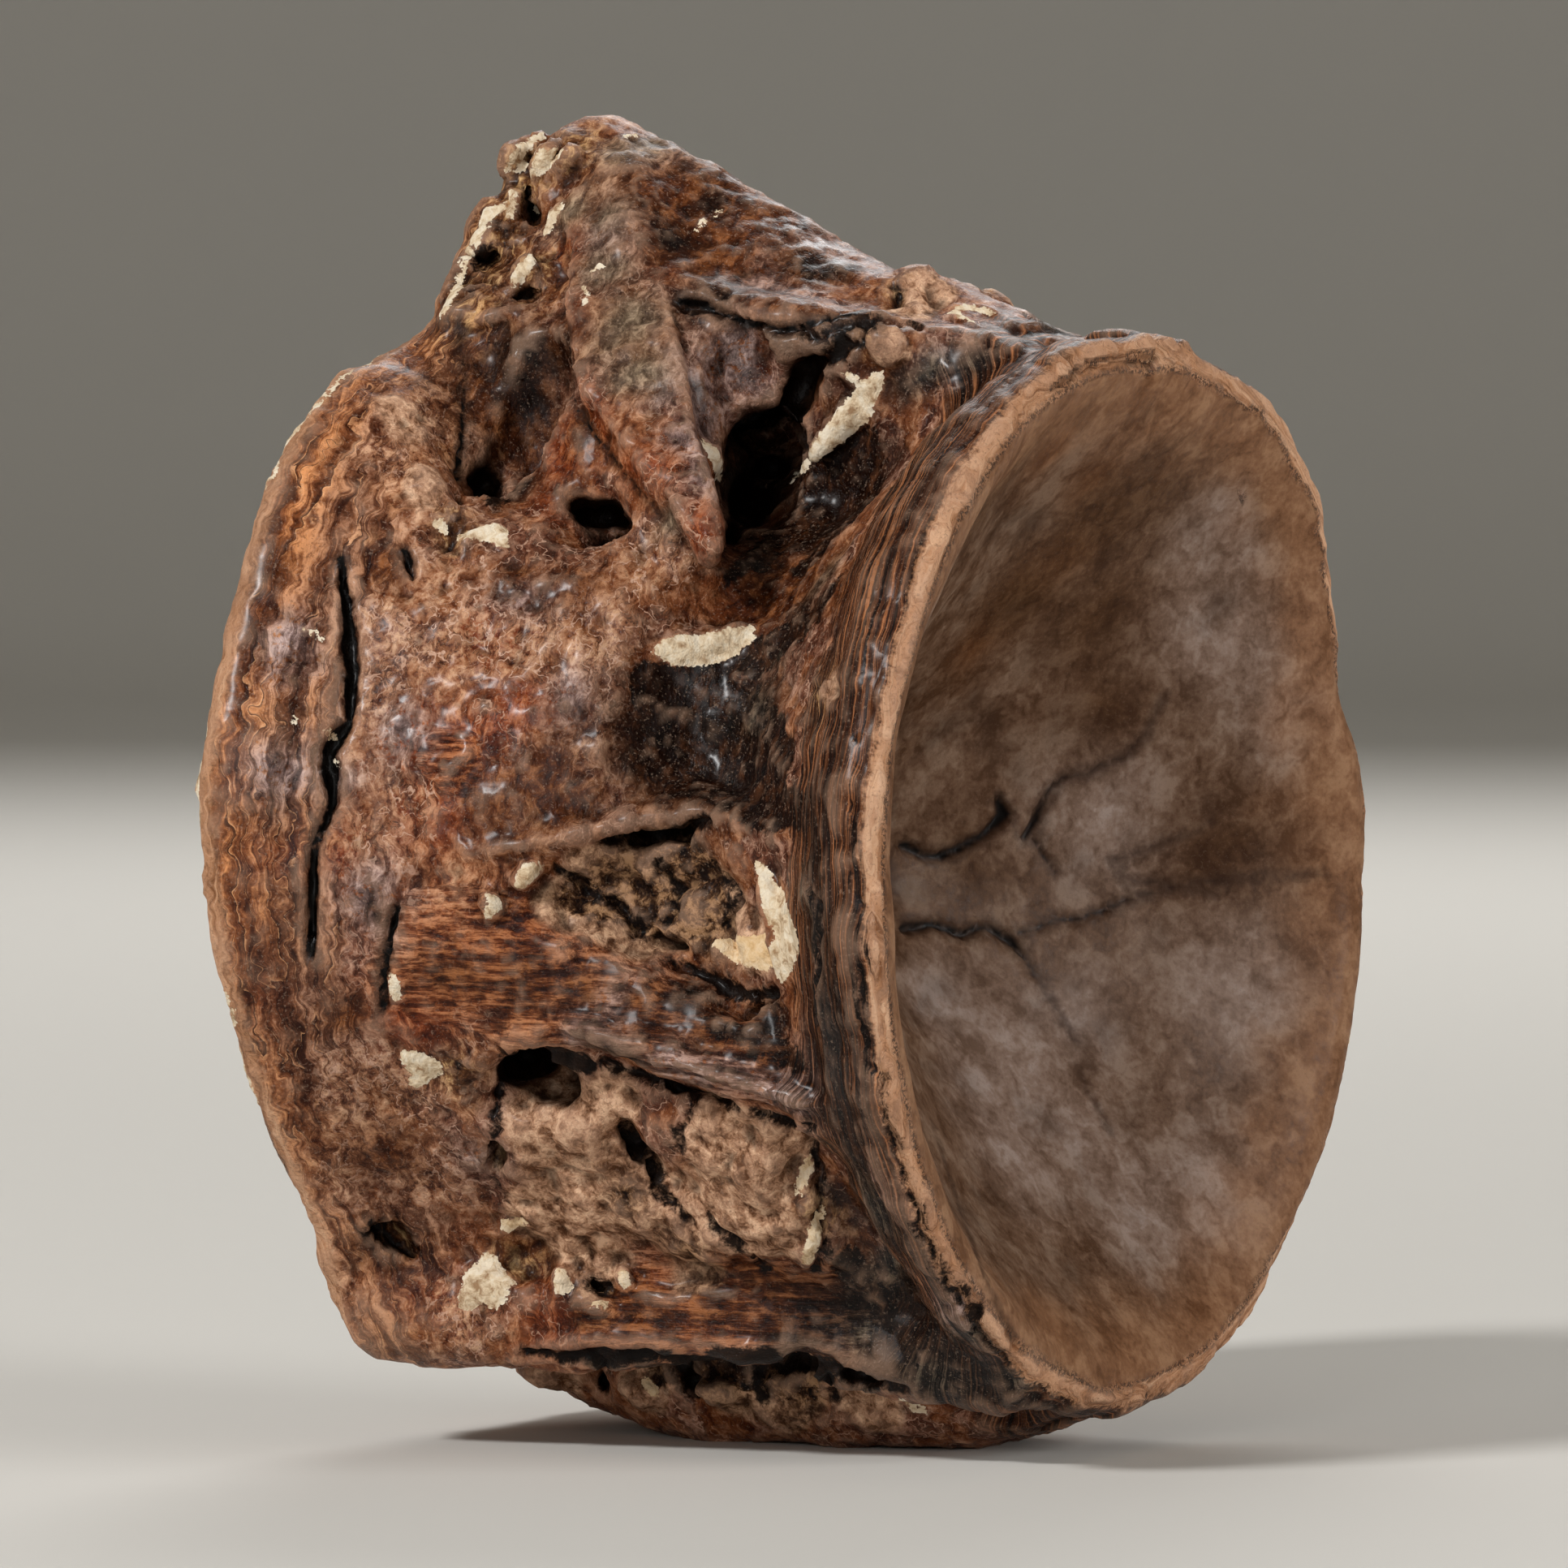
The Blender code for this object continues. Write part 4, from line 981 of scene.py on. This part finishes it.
def relief(points, marks, lie):
    """How far each point is raised, in millimetres."""
    cup = lie.cup
    bony = 1 - cup
    stone = marks.dab(points, "stone")
    bone_only = bony * (1 - stone)
    band = ramp(lie.to_lip, 6.5, 3.5) * bone_only
    broken = marks.dab(points, "broken")

    height = 0.12 * rough(points, 2.4, 11) * bony
    folds = 0.5 - np.abs(rough(swirl(points, 1.5, 15, 0.5), 1.5, 18))
    height += 0.16 * folds * bone_only * (1 - band)
    height += 0.06 * rough(points, 0.8, 21) * (0.25 + 0.75 * bony)
    height += 0.09 * rough(points, 4.2, 31) * cup

    _, ring = cobbles(swirl(points, 0.9, 40, 0.3), 0.95, 51)
    height += 0.05 * ramp(ring, 0.2, 0.0) * bone_only * (1 - band)

    round_places = np.stack([lie.along, lie.out, 1.3 * lie.angle], axis=1)
    rear = ramp(lie.along, 2.0, -2.0)
    height += 0.07 * rough(round_places, 0.5, 61) * band * (1 - 0.6 * rear)
    plates = swell(np.stack([lie.along, lie.out, 3.5 * lie.angle], axis=1), 1.3, 65) * 3
    height += 0.06 * steps_of(plates, 0.15) * band * (1 - 0.4 * rear)

    lip = ramp(lie.to_lip, 1.4, 0.7) * bony
    height += 0.025 * rough(points, 0.4, 81) * lip

    near, gap = cobbles(swirl(points, 1.2, 44, 0.5), 2.2, 55)
    height += stone * (0.22 * ramp(gap, 0.0, 0.4) - 0.12 * near)
    sandy = 0.16 * rough(swirl(points, 0.9, 47, 0.3), 1.1, 59) + 0.06 * rough(points, 0.45, 85)
    height += stone * sandy

    wandering = swirl(points, 1.1, 75, 0.35)
    uneven = 0.65 + 0.5 * swell(points, 0.9, 78)
    for rise, chain in marks.ridges:
        away = gap_to(wandering, chain, FINISH_REACH)
        height += rise * uneven * ramp(away, 0.7, -0.2) ** 1.5
    turn = math.radians(SPLINTER_TURN)
    way = np.array(RIGHT * math.cos(turn) + UP * math.sin(turn))
    drawn_out = points - SPLINTER_STRETCH * (points @ way)[:, None] * way
    splinters = 2.6 * swell(swirl(drawn_out, 0.7, 46, 0.2), 0.9, 57)
    height += broken * (0.24 * steps_of(splinters, 0.2) + 0.1 * rough(points, 0.5, 87))
    gaps = marks.gap(swirl(points, 0.7, 98, 0.3), marks.shade, RELIEF_REACH)
    height -= 0.35 * ramp(gaps, 0.12, -0.15)
    crack = marks.gap(swirl(points, 0.5, 95, 0.1), marks.cracks, RELIEF_REACH)
    height -= (0.6 - 0.35 * cup) * ramp(crack, 0.1, -0.15)
    chalk = marks.gap(swirl(points, 0.6, 90, 0.2), marks.chalk, RELIEF_REACH)
    height += 0.1 * ramp(chalk, 0.08, -0.06)
    return height


def sculpt(bone, marks):
    points, facing = places(bone), normals(bone)
    lie = Lie(points, facing)
    height = relief(points, marks, lie)
    put_places(bone, points + facing * height[:, None])


def store(bone, name, values):
    layer = bone.data.attributes.new(name, "FLOAT", "POINT")
    layer.data.foreach_set("value", values.astype(np.float32))


def paint(bone, marks):
    """Writes what the finish needs to know at each vertex."""
    points, facing = places(bone), normals(bone)
    lie = Lie(points, facing)
    for name in marks.dabs:
        store(bone, name, marks.dab(points, name))
    small = hollows_of(bone, 12)
    found = {
        "shade": marks.gap(swirl(points, 0.7, 98, 0.3), marks.shade, FINISH_REACH),
        "deep": marks.gap(swirl(points, 0.9, 101, 0.3), marks.deep, FINISH_REACH),
        "crack": marks.gap(points, marks.cracks, FINISH_REACH),
        "chalk": marks.gap(points, marks.chalk, FINISH_REACH),
        "cup": lie.cup,
        "lip": lie.to_lip,
        "behind": lie.behind,
        "nook": ramp(small, 0.01, 0.09),
        "crest": ramp(small, -0.01, -0.08),
        "shelter": shelter(bone),
    }
    for name, values in found.items():
        store(bone, name, values)


def make_bone():
    bone = bone_copy()
    finish_with(bone, "REMESH", mode="VOXEL", voxel_size=COARSE_VOXEL * MM)
    finish_with(bone, "SMOOTH", factor=0.5, iterations=8)
    skin = Skin(bone)
    dig(bone, skin)
    grow(bone, skin)
    finish_with(bone, "REMESH", mode="VOXEL", voxel_size=FINE_VOXEL * MM)
    finish_with(bone, "SMOOTH", factor=0.5, iterations=3)
    marks = Marks(Skin(bone))
    sculpt(bone, marks)
    ratio = BONE_TRIANGLES / (2 * len(bone.data.polygons))
    finish_with(bone, "DECIMATE", ratio=ratio)
    paint(bone, Marks(Skin(bone)))
    bone.data.materials.clear()
    take_up(bone)
    bpy.ops.object.shade_smooth()
    return bone


# Finishes


class Number:
    """A number in a material, which Python sums turn into nodes."""

    def __init__(self, finish, socket):
        self.finish = finish
        self.socket = socket

    def sum(self, operation, *values):
        return self.finish.sum(operation, *values)

    def __add__(self, other):
        return self.sum("ADD", self, other)

    def __sub__(self, other):
        return self.sum("SUBTRACT", self, other)

    def __rsub__(self, other):
        return self.sum("SUBTRACT", other, self)

    def __mul__(self, other):
        return self.sum("MULTIPLY", self, other)

    def __truediv__(self, other):
        return self.sum("DIVIDE", self, other)

    __radd__ = __add__
    __rmul__ = __mul__


class Finish:
    """One material and the nodes that make it."""

    def __init__(self, name):
        self.material = bpy.data.materials.new(name)
        self.material.use_nodes = True
        self.tree = self.material.node_tree
        self.shader = self.tree.nodes["Principled BSDF"]

    def node(self, kind, settings, inputs):
        made = self.tree.nodes.new(kind)
        for name, value in settings.items():
            setattr(made, name, value)
        for name, value in inputs.items():
            self.feed(made.inputs[name], value)
        return made

    def feed(self, socket, value):
        if isinstance(value, Number):
            value = value.socket
        if isinstance(value, bpy.types.NodeSocket):
            self.tree.links.new(value, socket)
        else:
            socket.default_value = value

    def done(self, inputs):
        """The material, with these values or links on its shader."""
        for name, value in inputs.items():
            self.feed(self.shader.inputs[name], value)
        return self.material

    def sum(self, operation, *values):
        made = self.node("ShaderNodeMath", {"operation": operation}, dict(enumerate(values)))
        return Number(self, made.outputs[0])

    def held(self, value):
        """A number kept between 0 and 1."""
        settings = {"operation": "ADD", "use_clamp": True}
        return Number(self, self.node("ShaderNodeMath", settings, {0: value, 1: 0.0}).outputs[0])

    def step(self, value, low, high):
        """A smooth step from 0 at low to 1 at high, or falling where low is above high."""
        settings = {"interpolation_type": "SMOOTHSTEP"}
        if isinstance(low, Number):
            return self.step((value - low) / (high - low), 0.0, 1.0)
        rising = low < high
        ends = {"From Min": min(low, high), "From Max": max(low, high)}
        ends |= {"To Min": 0.0 if rising else 1.0, "To Max": 1.0 if rising else 0.0}
        made = self.node("ShaderNodeMapRange", settings, {"Value": value, **ends})
        return Number(self, made.outputs["Result"])

    def attribute(self, name):
        made = self.node("ShaderNodeAttribute", {"attribute_name": name}, {})
        return Number(self, made.outputs["Fac"])

    def place(self):
        """The place on the piece in millimetres."""
        spot = self.node("ShaderNodeTexCoord", {}, {}).outputs["Object"]
        return self.scaled(spot, 1 / MM)

    def vectors(self, operation, inputs):
        return self.node("ShaderNodeVectorMath", {"operation": operation}, inputs).outputs[0]

    def scaled(self, vector, amount):
        return self.vectors("SCALE", {0: vector, "Scale": amount})

    def warped(self, place, scale, reach):
        """The place, moved by noise of this scale by up to about half the reach."""
        inputs = {"Vector": place, "Scale": scale, "Detail": 1.0}
        push = self.node("ShaderNodeTexNoise", {}, inputs).outputs["Color"]
        push = self.vectors("SUBTRACT", {0: push, 1: (0.5, 0.5, 0.5)})
        return self.vectors("ADD", {0: place, 1: self.scaled(push, reach)})

    def parts(self, vector):
        split = self.node("ShaderNodeSeparateXYZ", {}, {0: vector})
        return [Number(self, socket) for socket in split.outputs]

    def vector(self, x, y, z):
        return self.node("ShaderNodeCombineXYZ", {}, {0: x, 1: y, 2: z}).outputs[0]

    def switch(self, first, second, share):
        """The first vector, or the second where the share is over a half."""
        over = self.sum("GREATER_THAN", share, 0.5)
        made = self.node("ShaderNodeMix", {"data_type": "VECTOR"}, {0: over, 4: first, 5: second})
        return made.outputs[1]

    def noise(self, place, scale, detail=2.0, roughness=0.5):
        inputs = {"Vector": place, "Scale": scale, "Detail": detail, "Roughness": roughness}
        return Number(self, self.node("ShaderNodeTexNoise", {}, inputs).outputs["Fac"])

    def ramp(self, value, stops):
        """Colours along a number, as pairs of a place and a colour."""
        made = self.node("ShaderNodeValToRGB", {}, {0: value})
        elements = made.color_ramp.elements
        while len(elements) < len(stops):
            elements.new(0.5)
        for element, (place, tint) in zip(elements, stops):
            element.position = place
            element.color = tint
        return made.outputs["Color"]

    def spread(self, tint):
        """The colour with its darks and lights drawn apart."""
        made = self.node("ShaderNodeGamma", {}, {"Color": tint, "Gamma": CONTRAST})
        keep = MIDDLE ** (1 - CONTRAST)
        warm = [keep * share for share in WARMTH]
        return self.vectors("MULTIPLY", {0: made.outputs[0], 1: warm})

    def tones(self, value, dark, middle, light, reach=0.085):
        """A dark, a middle and a light colour, given from 0 to 255, laid over a noise."""
        at = (0.5 - reach, 0.5, 0.5 + reach)
        tints = (colour(*tint) for tint in (dark, middle, light))
        return self.ramp(value, list(zip(at, tints)))

    def mix(self, first, second, share):
        made = self.node("ShaderNodeMix", {"data_type": "RGBA"}, {0: share, 6: first, 7: second})
        return made.outputs[2]


def colour(red, green, blue):
    """A colour given as seen on screen, from 0 to 255, as the shader wants it."""
    def straight(part):
        part /= 255
        return part / 12.92 if part <= 0.04045 else ((part + 0.055) / 1.055) ** 2.4
    return (straight(red), straight(green), straight(blue), 1)


def bone_finish():
    """Brown bone under thin varnish: crackled, streaked round the rims, sandy in the pits."""
    finish = Finish("fossil_bone")
    step, noise, mix, tones = finish.step, finish.noise, finish.mix, finish.tones
    held, absolute = finish.held, functools.partial(finish.sum, "ABSOLUTE")
    place = finish.place()
    x, y, z = finish.parts(place)
    up = z - AXIS_HEIGHT + FRONT_DROP * x
    out = finish.sum("SQRT", y * y + up * up)
    bent = finish.warped(place, 1.3, 1.1)
    kinked = finish.warped(place, 2.6, 0.5)
    near_x, near_y, near_z = finish.parts(bent)
    across = x + 0.6 * out
    turn = finish.vector(across * 7.5, 2.2 * y / out, 2.2 * up / out)
    rear_turn = finish.vector((0.6 * out - near_x) * 1.9, 2.6 * y / out, 2.6 * up / out)
    plate_place = finish.vector(near_x * 0.8, 1.1 * y / out, 1.1 * up / out)
    fibre_place = finish.vector(x * 0.4, y * 3.4, z * 3.4)

    rust, pale, lilac_and_painted_light = (finish.attribute(name) for name in ("rust", "pale", "lilac_and_painted_light"))
    dark, slate, olive = (finish.attribute(name) for name in ("dark", "slate", "olive"))
    gloss, fibre, stone = (finish.attribute(name) for name in ("gloss", "fibre", "stone"))
    crack, chalk, broken = (finish.attribute(name) for name in ("crack", "chalk", "broken"))
    cup, lip, behind = (finish.attribute(name) for name in ("cup", "lip", "behind"))
    nook, crest, shelter = (finish.attribute(name) for name in ("nook", "crest", "shelter"))
    shade, deep, umber, net = (finish.attribute(name) for name in ("shade", "deep", "umber", "net"))
    bony = 1 - cup
    front = step(x, 0.0, 3.0)

    tone = noise(bent, 0.5, 1, 0.55)
    band_edge = lip + (tone - 0.5) * 3
    front_band = step(band_edge, 5.4, 4.2) * bony * front * (1 - 0.6 * stone)
    rear_band = step(band_edge, 4.9, 4.1) * bony * (1 - front) * (1 - stone) * (1 - 0.8 * pale)
    way = finish.vector(near_x * 2.6, near_y * 0.8, near_z * 0.8)
    way = finish.switch(way, fibre_place, fibre * 1.3)
    way = finish.switch(way, turn, front_band)
    way = finish.switch(way, rear_turn, rear_band)
    streaks = noise(way, 1.0, 4, 0.69)
    loose = noise(kinked, 1.8, 4, 0.68)
    banded = held(front_band + rear_band + fibre)
    detail = 0.5 + (loose - 0.5) * 0.28 + (streaks - 0.5) * (0.36 + 0.29 * banded)
    fine = noise(place, 3.6, 2, 0.76)
    grain = noise(place, 9.0, 2, 0.65)
    # Dark bone from the dark dabs and deep areas, partly painted shade
    dark = held(dark + step(deep + (loose - 0.5) * 1.2, 0.2, -0.12))

    base = tones(detail, (76, 38, 17), (126, 88, 66), (170, 140, 124))
    purple = tones(detail, (60, 34, 27), (108, 77, 68), (160, 136, 130))
    base = mix(base, purple, step(tone, 0.46, 0.54) * 0.9)
    rusty = tones(detail, (66, 23, 6), (122, 68, 40), (164, 116, 90))
    base = mix(base, rusty, held(rust * 1.05))
    bleached = tones(detail, (108, 70, 48), (156, 124, 106), (190, 168, 154))
    base = mix(base, bleached, held(pale * step(fine, 0.34, 0.54) * 0.9))

    ripple = noise(kinked, 1.1, 2, 0.55)
    veined = held(step(tone, 0.4, 0.5) * 0.7 + net)
    veins = step(absolute(ripple - 0.5), 0.02, 0.006) * veined
    slits = step(absolute(streaks - 0.47), 0.02, 0.004) * step(tone, 0.42, 0.5)
    base = mix(base, colour(40, 16, 5), slits * 0.6)
    base = mix(base, colour(176, 154, 148), held(veins * step(fine, 0.34, 0.48)))

    striped = finish.ramp(streaks, [
        (0.4, colour(18, 5, 1)), (0.47, colour(62, 36, 22)), (0.54, colour(98, 68, 49)),
        (0.62, colour(160, 118, 90)),
    ])
    base = mix(base, striped, front_band * 0.92)

    layers = noise(plate_place, 1.0, 1.5, 0.5) * 8
    level = finish.sum("FLOOR", layers)
    along_edge = layers - level
    shade_of_plate = 0.5 + 0.5 * finish.sum("SINE", level * 2.3)
    tan_plates = tones(detail, (74, 41, 20), (126, 86, 60), (186, 144, 112))
    brown_plates = tones(detail, (58, 30, 16), (106, 75, 58), (160, 128, 109))
    plates = mix(tan_plates, brown_plates, step(lip, 1.4, 3.0) * (0.5 + 0.5 * shade_of_plate))
    # Painted shade just below each plate's step
    plates = mix(plates, colour(50, 24, 10), held(step(along_edge, 0.86, 1.0) * 0.8))
    # Painted highlight: a light line along each plate's edge
    painted_edge_highlight = step(along_edge, 0.1, 0.0) * step(fine, 0.4, 0.52)
    plates = mix(plates, colour(192, 158, 132), held(painted_edge_highlight * 0.8))
    base = mix(base, plates, held(rear_band * (0.95 - 0.4 * rust)))

    fibrous = tones(streaks, (60, 27, 10), (108, 66, 43), (166, 122, 96))
    base = mix(base, fibrous, fibre * 0.85)
    for share, *three in (
        # Lilac-grey bone, partly painted highlights and painted light
        (lilac_and_painted_light * 1.1 * step(fine, 0.3, 0.5), (54, 42, 43), (114, 99, 102), (176, 163, 170)),
        (olive, (60, 49, 42), (106, 96, 88), (156, 145, 136)),
        (umber * 1.1, (44, 18, 5), (88, 54, 31), (138, 101, 75)),
        (dark * 1.1, (12, 3, 1), (38, 19, 9), (88, 63, 48)),
        (slate * 1.1, (14, 11, 9), (46, 42, 42), (112, 105, 100)),
        (broken * 1.1, (32, 13, 3), (104, 75, 54), (192, 170, 142)),
    ):
        base = mix(base, tones(detail, *three), held(share))

    sand = tones(loose, (100, 74, 58), (156, 131, 118), (188, 167, 156), 0.13)
    sand_dark = tones(loose, (24, 11, 6), (82, 62, 48), (148, 125, 107), 0.1)
    # The sand is darker where the bone is dark or has painted shade
    sand = mix(sand, sand_dark, held(dark * 1.2 + umber))
    base = mix(base, sand, step(stone, 0.3, 0.6))

    base = finish.spread(base)
    mottle = noise(bent, 0.55, 3, 0.74) + (fine - 0.5) * 0.3
    cup_colour = tones(mottle, (72, 47, 29), (99, 73, 55), (123, 99, 81), CUP_REACH)
    for share, *three in (
        (rust, (86, 50, 25), (104, 66, 38), (126, 84, 54)),
        # Lilac-grey in the cup, partly painted light on its left wall, which the lamps leave in
        # shade
        (lilac_and_painted_light, (104, 82, 68), (132, 110, 97), (154, 136, 126)),
        (olive, (52, 29, 12), (72, 46, 26), (92, 64, 42)),
        (step(band_edge, 4.2, 0.8) * 0.85, (100, 66, 42), (128, 90, 63), (150, 112, 82)),
    ):
        cup_colour = mix(cup_colour, tones(mottle, *three, CUP_REACH), held(share))
    base = mix(base, cup_colour, cup)

    rear_span = 1 + 1.2 * (1 - front)
    edge = step(behind + (fine - 0.5) * 0.8, 0.55 * rear_span, 0.3 * rear_span) * bony
    edge_colour = tones(streaks, (122, 78, 48), (180, 131, 96), (212, 168, 134), 0.15)
    base = mix(base, edge_colour, held(edge))
    seam = cup * bony * 4
    base = mix(base, colour(40, 24, 16), held(seam * step(grain, 0.44, 0.56) * 0.9))

    plain = 1 - 0.7 * fibre
    # Painted shade: darker where the bone itself shuts off much of the open space round a point
    painted_occlusion_shade = step(shelter + (fine - 0.5) * 0.3, 0.4, 0.85) * bony * (1 - 0.4 * stone)
    # Painted shade: near black in the gaps and corners of the shade chains, with ragged edges
    gap = step(shade + (grain - 0.5) * 0.3 + (detail - 0.5) * 1.6, 0.16, -0.08)
    ragged = crack + (grain - 0.5) * 0.15 * bony
    for share, tint in (
        (step(grain, 0.44, 0.34) * 0.35 * (1 - 0.6 * cup) * plain, (34, 12, 3)),
        (step(grain, 0.58, 0.68) * 0.2 * (1 - 0.8 * cup) * plain, (206, 174, 150)),
        # painted shade in small hollows of the surface
        (nook * 0.75, (24, 8, 2)),
        (crest * 0.35 * bony, (192, 154, 128)),
        # painted shade where the bone shelters itself
        (painted_occlusion_shade * 0.95, (16, 5, 1)),
        # painted shade in the gaps and corners
        (gap * 0.96, (10, 3, 1)),
        (step(ragged + (loose - 0.5) * 0.6, 0.45, 0.05) * 0.6, (44, 26, 16)),
        (step(ragged, 0.13 - 0.03 * cup, 0.02 - 0.17 * cup), (7, 4, 3)),
    ):
        base = mix(base, colour(*tint), held(share))
    chalk_edge = chalk + (fine - 0.5) * 0.45 + (grain - 0.5) * 0.15
    chalky = step(chalk_edge, 0.02, -0.02)
    chalk_colour = finish.ramp(loose, [
        (0.4, colour(238, 224, 200)), (0.52, colour(222, 200, 168)),
        (0.66, colour(160, 128, 96)),
    ])
    chalk_colour = mix(chalk_colour, colour(222, 180, 122), held(stone * 0.6))
    base = mix(base, chalk_colour, chalky)

    matt = chalky + stone * 0.8 + edge * 0.6
    dull = held(0.5 + 0.3 * matt - 0.2 * gloss + (fine - 0.5) * 0.7)
    varnish = held((0.13 + 0.24 * gloss) * (1 - matt) * (1 - 0.9 * cup) * (1 - shelter))
    rough = 1 - 0.85 * cup
    lined = front_band * 0.14 + rear_band * 0.05 + fibre * 0.1
    height = (streaks * 0.08 + fine * 0.07) * rough + streaks * lined
    bump = finish.node("ShaderNodeBump", {}, {"Strength": 1.0, "Distance": MM, "Height": height})
    return finish.done({
        "Base Color": base, "Roughness": dull, "Coat Weight": varnish, "Coat Roughness": 0.23,
        "Specular IOR Level": 0.08, "Normal": bump.outputs["Normal"],
    })


def paper_finish():
    return Finish("studio_paper").done({
        "Base Color": colour(214, 211, 205), "Roughness": 1.0, "Specular IOR Level": 0.0,
    })


# Studio


def add_camera():
    data = bpy.data.cameras.new("camera")
    data.sensor_width = 36
    data.lens = data.sensor_width * VIEW_DISTANCE / (PIXELS / PIXELS_PER_MM)
    data.clip_start = 0.01
    camera = bpy.data.objects.new("camera", data)
    bpy.context.scene.collection.objects.link(camera)
    camera.location = EYE * MM
    camera.rotation_euler = BACK.to_track_quat("Z", "Y").to_euler()
    bpy.context.scene.camera = camera


def add_light(name, azimuth, elevation, distance, size, power, shine):
    """A round soft light that faces the bone."""
    data = bpy.data.lights.new(name, "AREA")
    data.shape = "DISK"
    data.size = size
    data.energy = power
    data.specular_factor = shine
    light = bpy.data.objects.new(name, data)
    bpy.context.scene.collection.objects.link(light)
    turn, lift = math.radians(azimuth), math.radians(elevation)
    flat = math.cos(lift)
    away = Vector((math.sin(turn) * flat, -math.cos(turn) * flat, math.sin(lift)))
    light.location = Vector((0, 0, AIM_HEIGHT * MM)) + away * distance
    light.rotation_euler = away.to_track_quat("Z", "Y").to_euler()


def add_floor():
    """A round pale floor that curves up into a wall all round."""
    deselect()
    bpy.ops.mesh.primitive_circle_add(vertices=96, radius=FLOOR_RADIUS, fill_type="NGON")
    floor = bpy.context.active_object
    floor.name = "floor"
    bpy.ops.object.mode_set(mode="EDIT")
    bpy.ops.mesh.select_mode(type="EDGE")
    for step in range(1, EDGE_STEPS + 1):
        bpy.ops.mesh.select_all(action="DESELECT")
        bpy.ops.object.mode_set(mode="OBJECT")
        top = max(vertex.co.z for vertex in floor.data.vertices)
        for edge in floor.data.edges:
            ends = [floor.data.vertices[i] for i in edge.vertices]
            edge.select = all(end.co.z > top - 1e-6 and end.co.xy.length > 0.8 for end in ends)
        bpy.ops.object.mode_set(mode="EDIT")
        turn = math.radians(90) * (step - 0.5) / EDGE_STEPS
        widen = 1 + EDGE_STEP * math.cos(turn)
        bpy.ops.mesh.extrude_region_move()
        bpy.ops.transform.resize(value=(widen, widen, 1))
        bpy.ops.transform.translate(value=(0, 0, EDGE_STEP * math.sin(turn)))
    bpy.ops.mesh.extrude_region_move(TRANSFORM_OT_translate={"value": (0, 0, WALL_HEIGHT)})
    bpy.ops.object.mode_set(mode="OBJECT")
    bpy.ops.object.shade_smooth()
    floor.data.materials.append(paper_finish())


def add_studio():
    add_floor()
    world = bpy.data.worlds.new("studio")
    world.use_nodes = True
    sky = world.node_tree.nodes["Background"]
    sky.inputs["Color"].default_value = (0.9, 0.95, 1, 1)
    sky.inputs["Strength"].default_value = 0.12
    bpy.context.scene.world = world
    for name, row in LIGHTS.items():
        add_light(name, *row)
    bpy.context.scene.view_settings.view_transform = "Standard"


add_camera()
vertebra_bone = make_bone()
vertebra_bone.data.materials.append(bone_finish())
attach(vertebra_bone, "root")
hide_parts("vertebra")
add_studio()
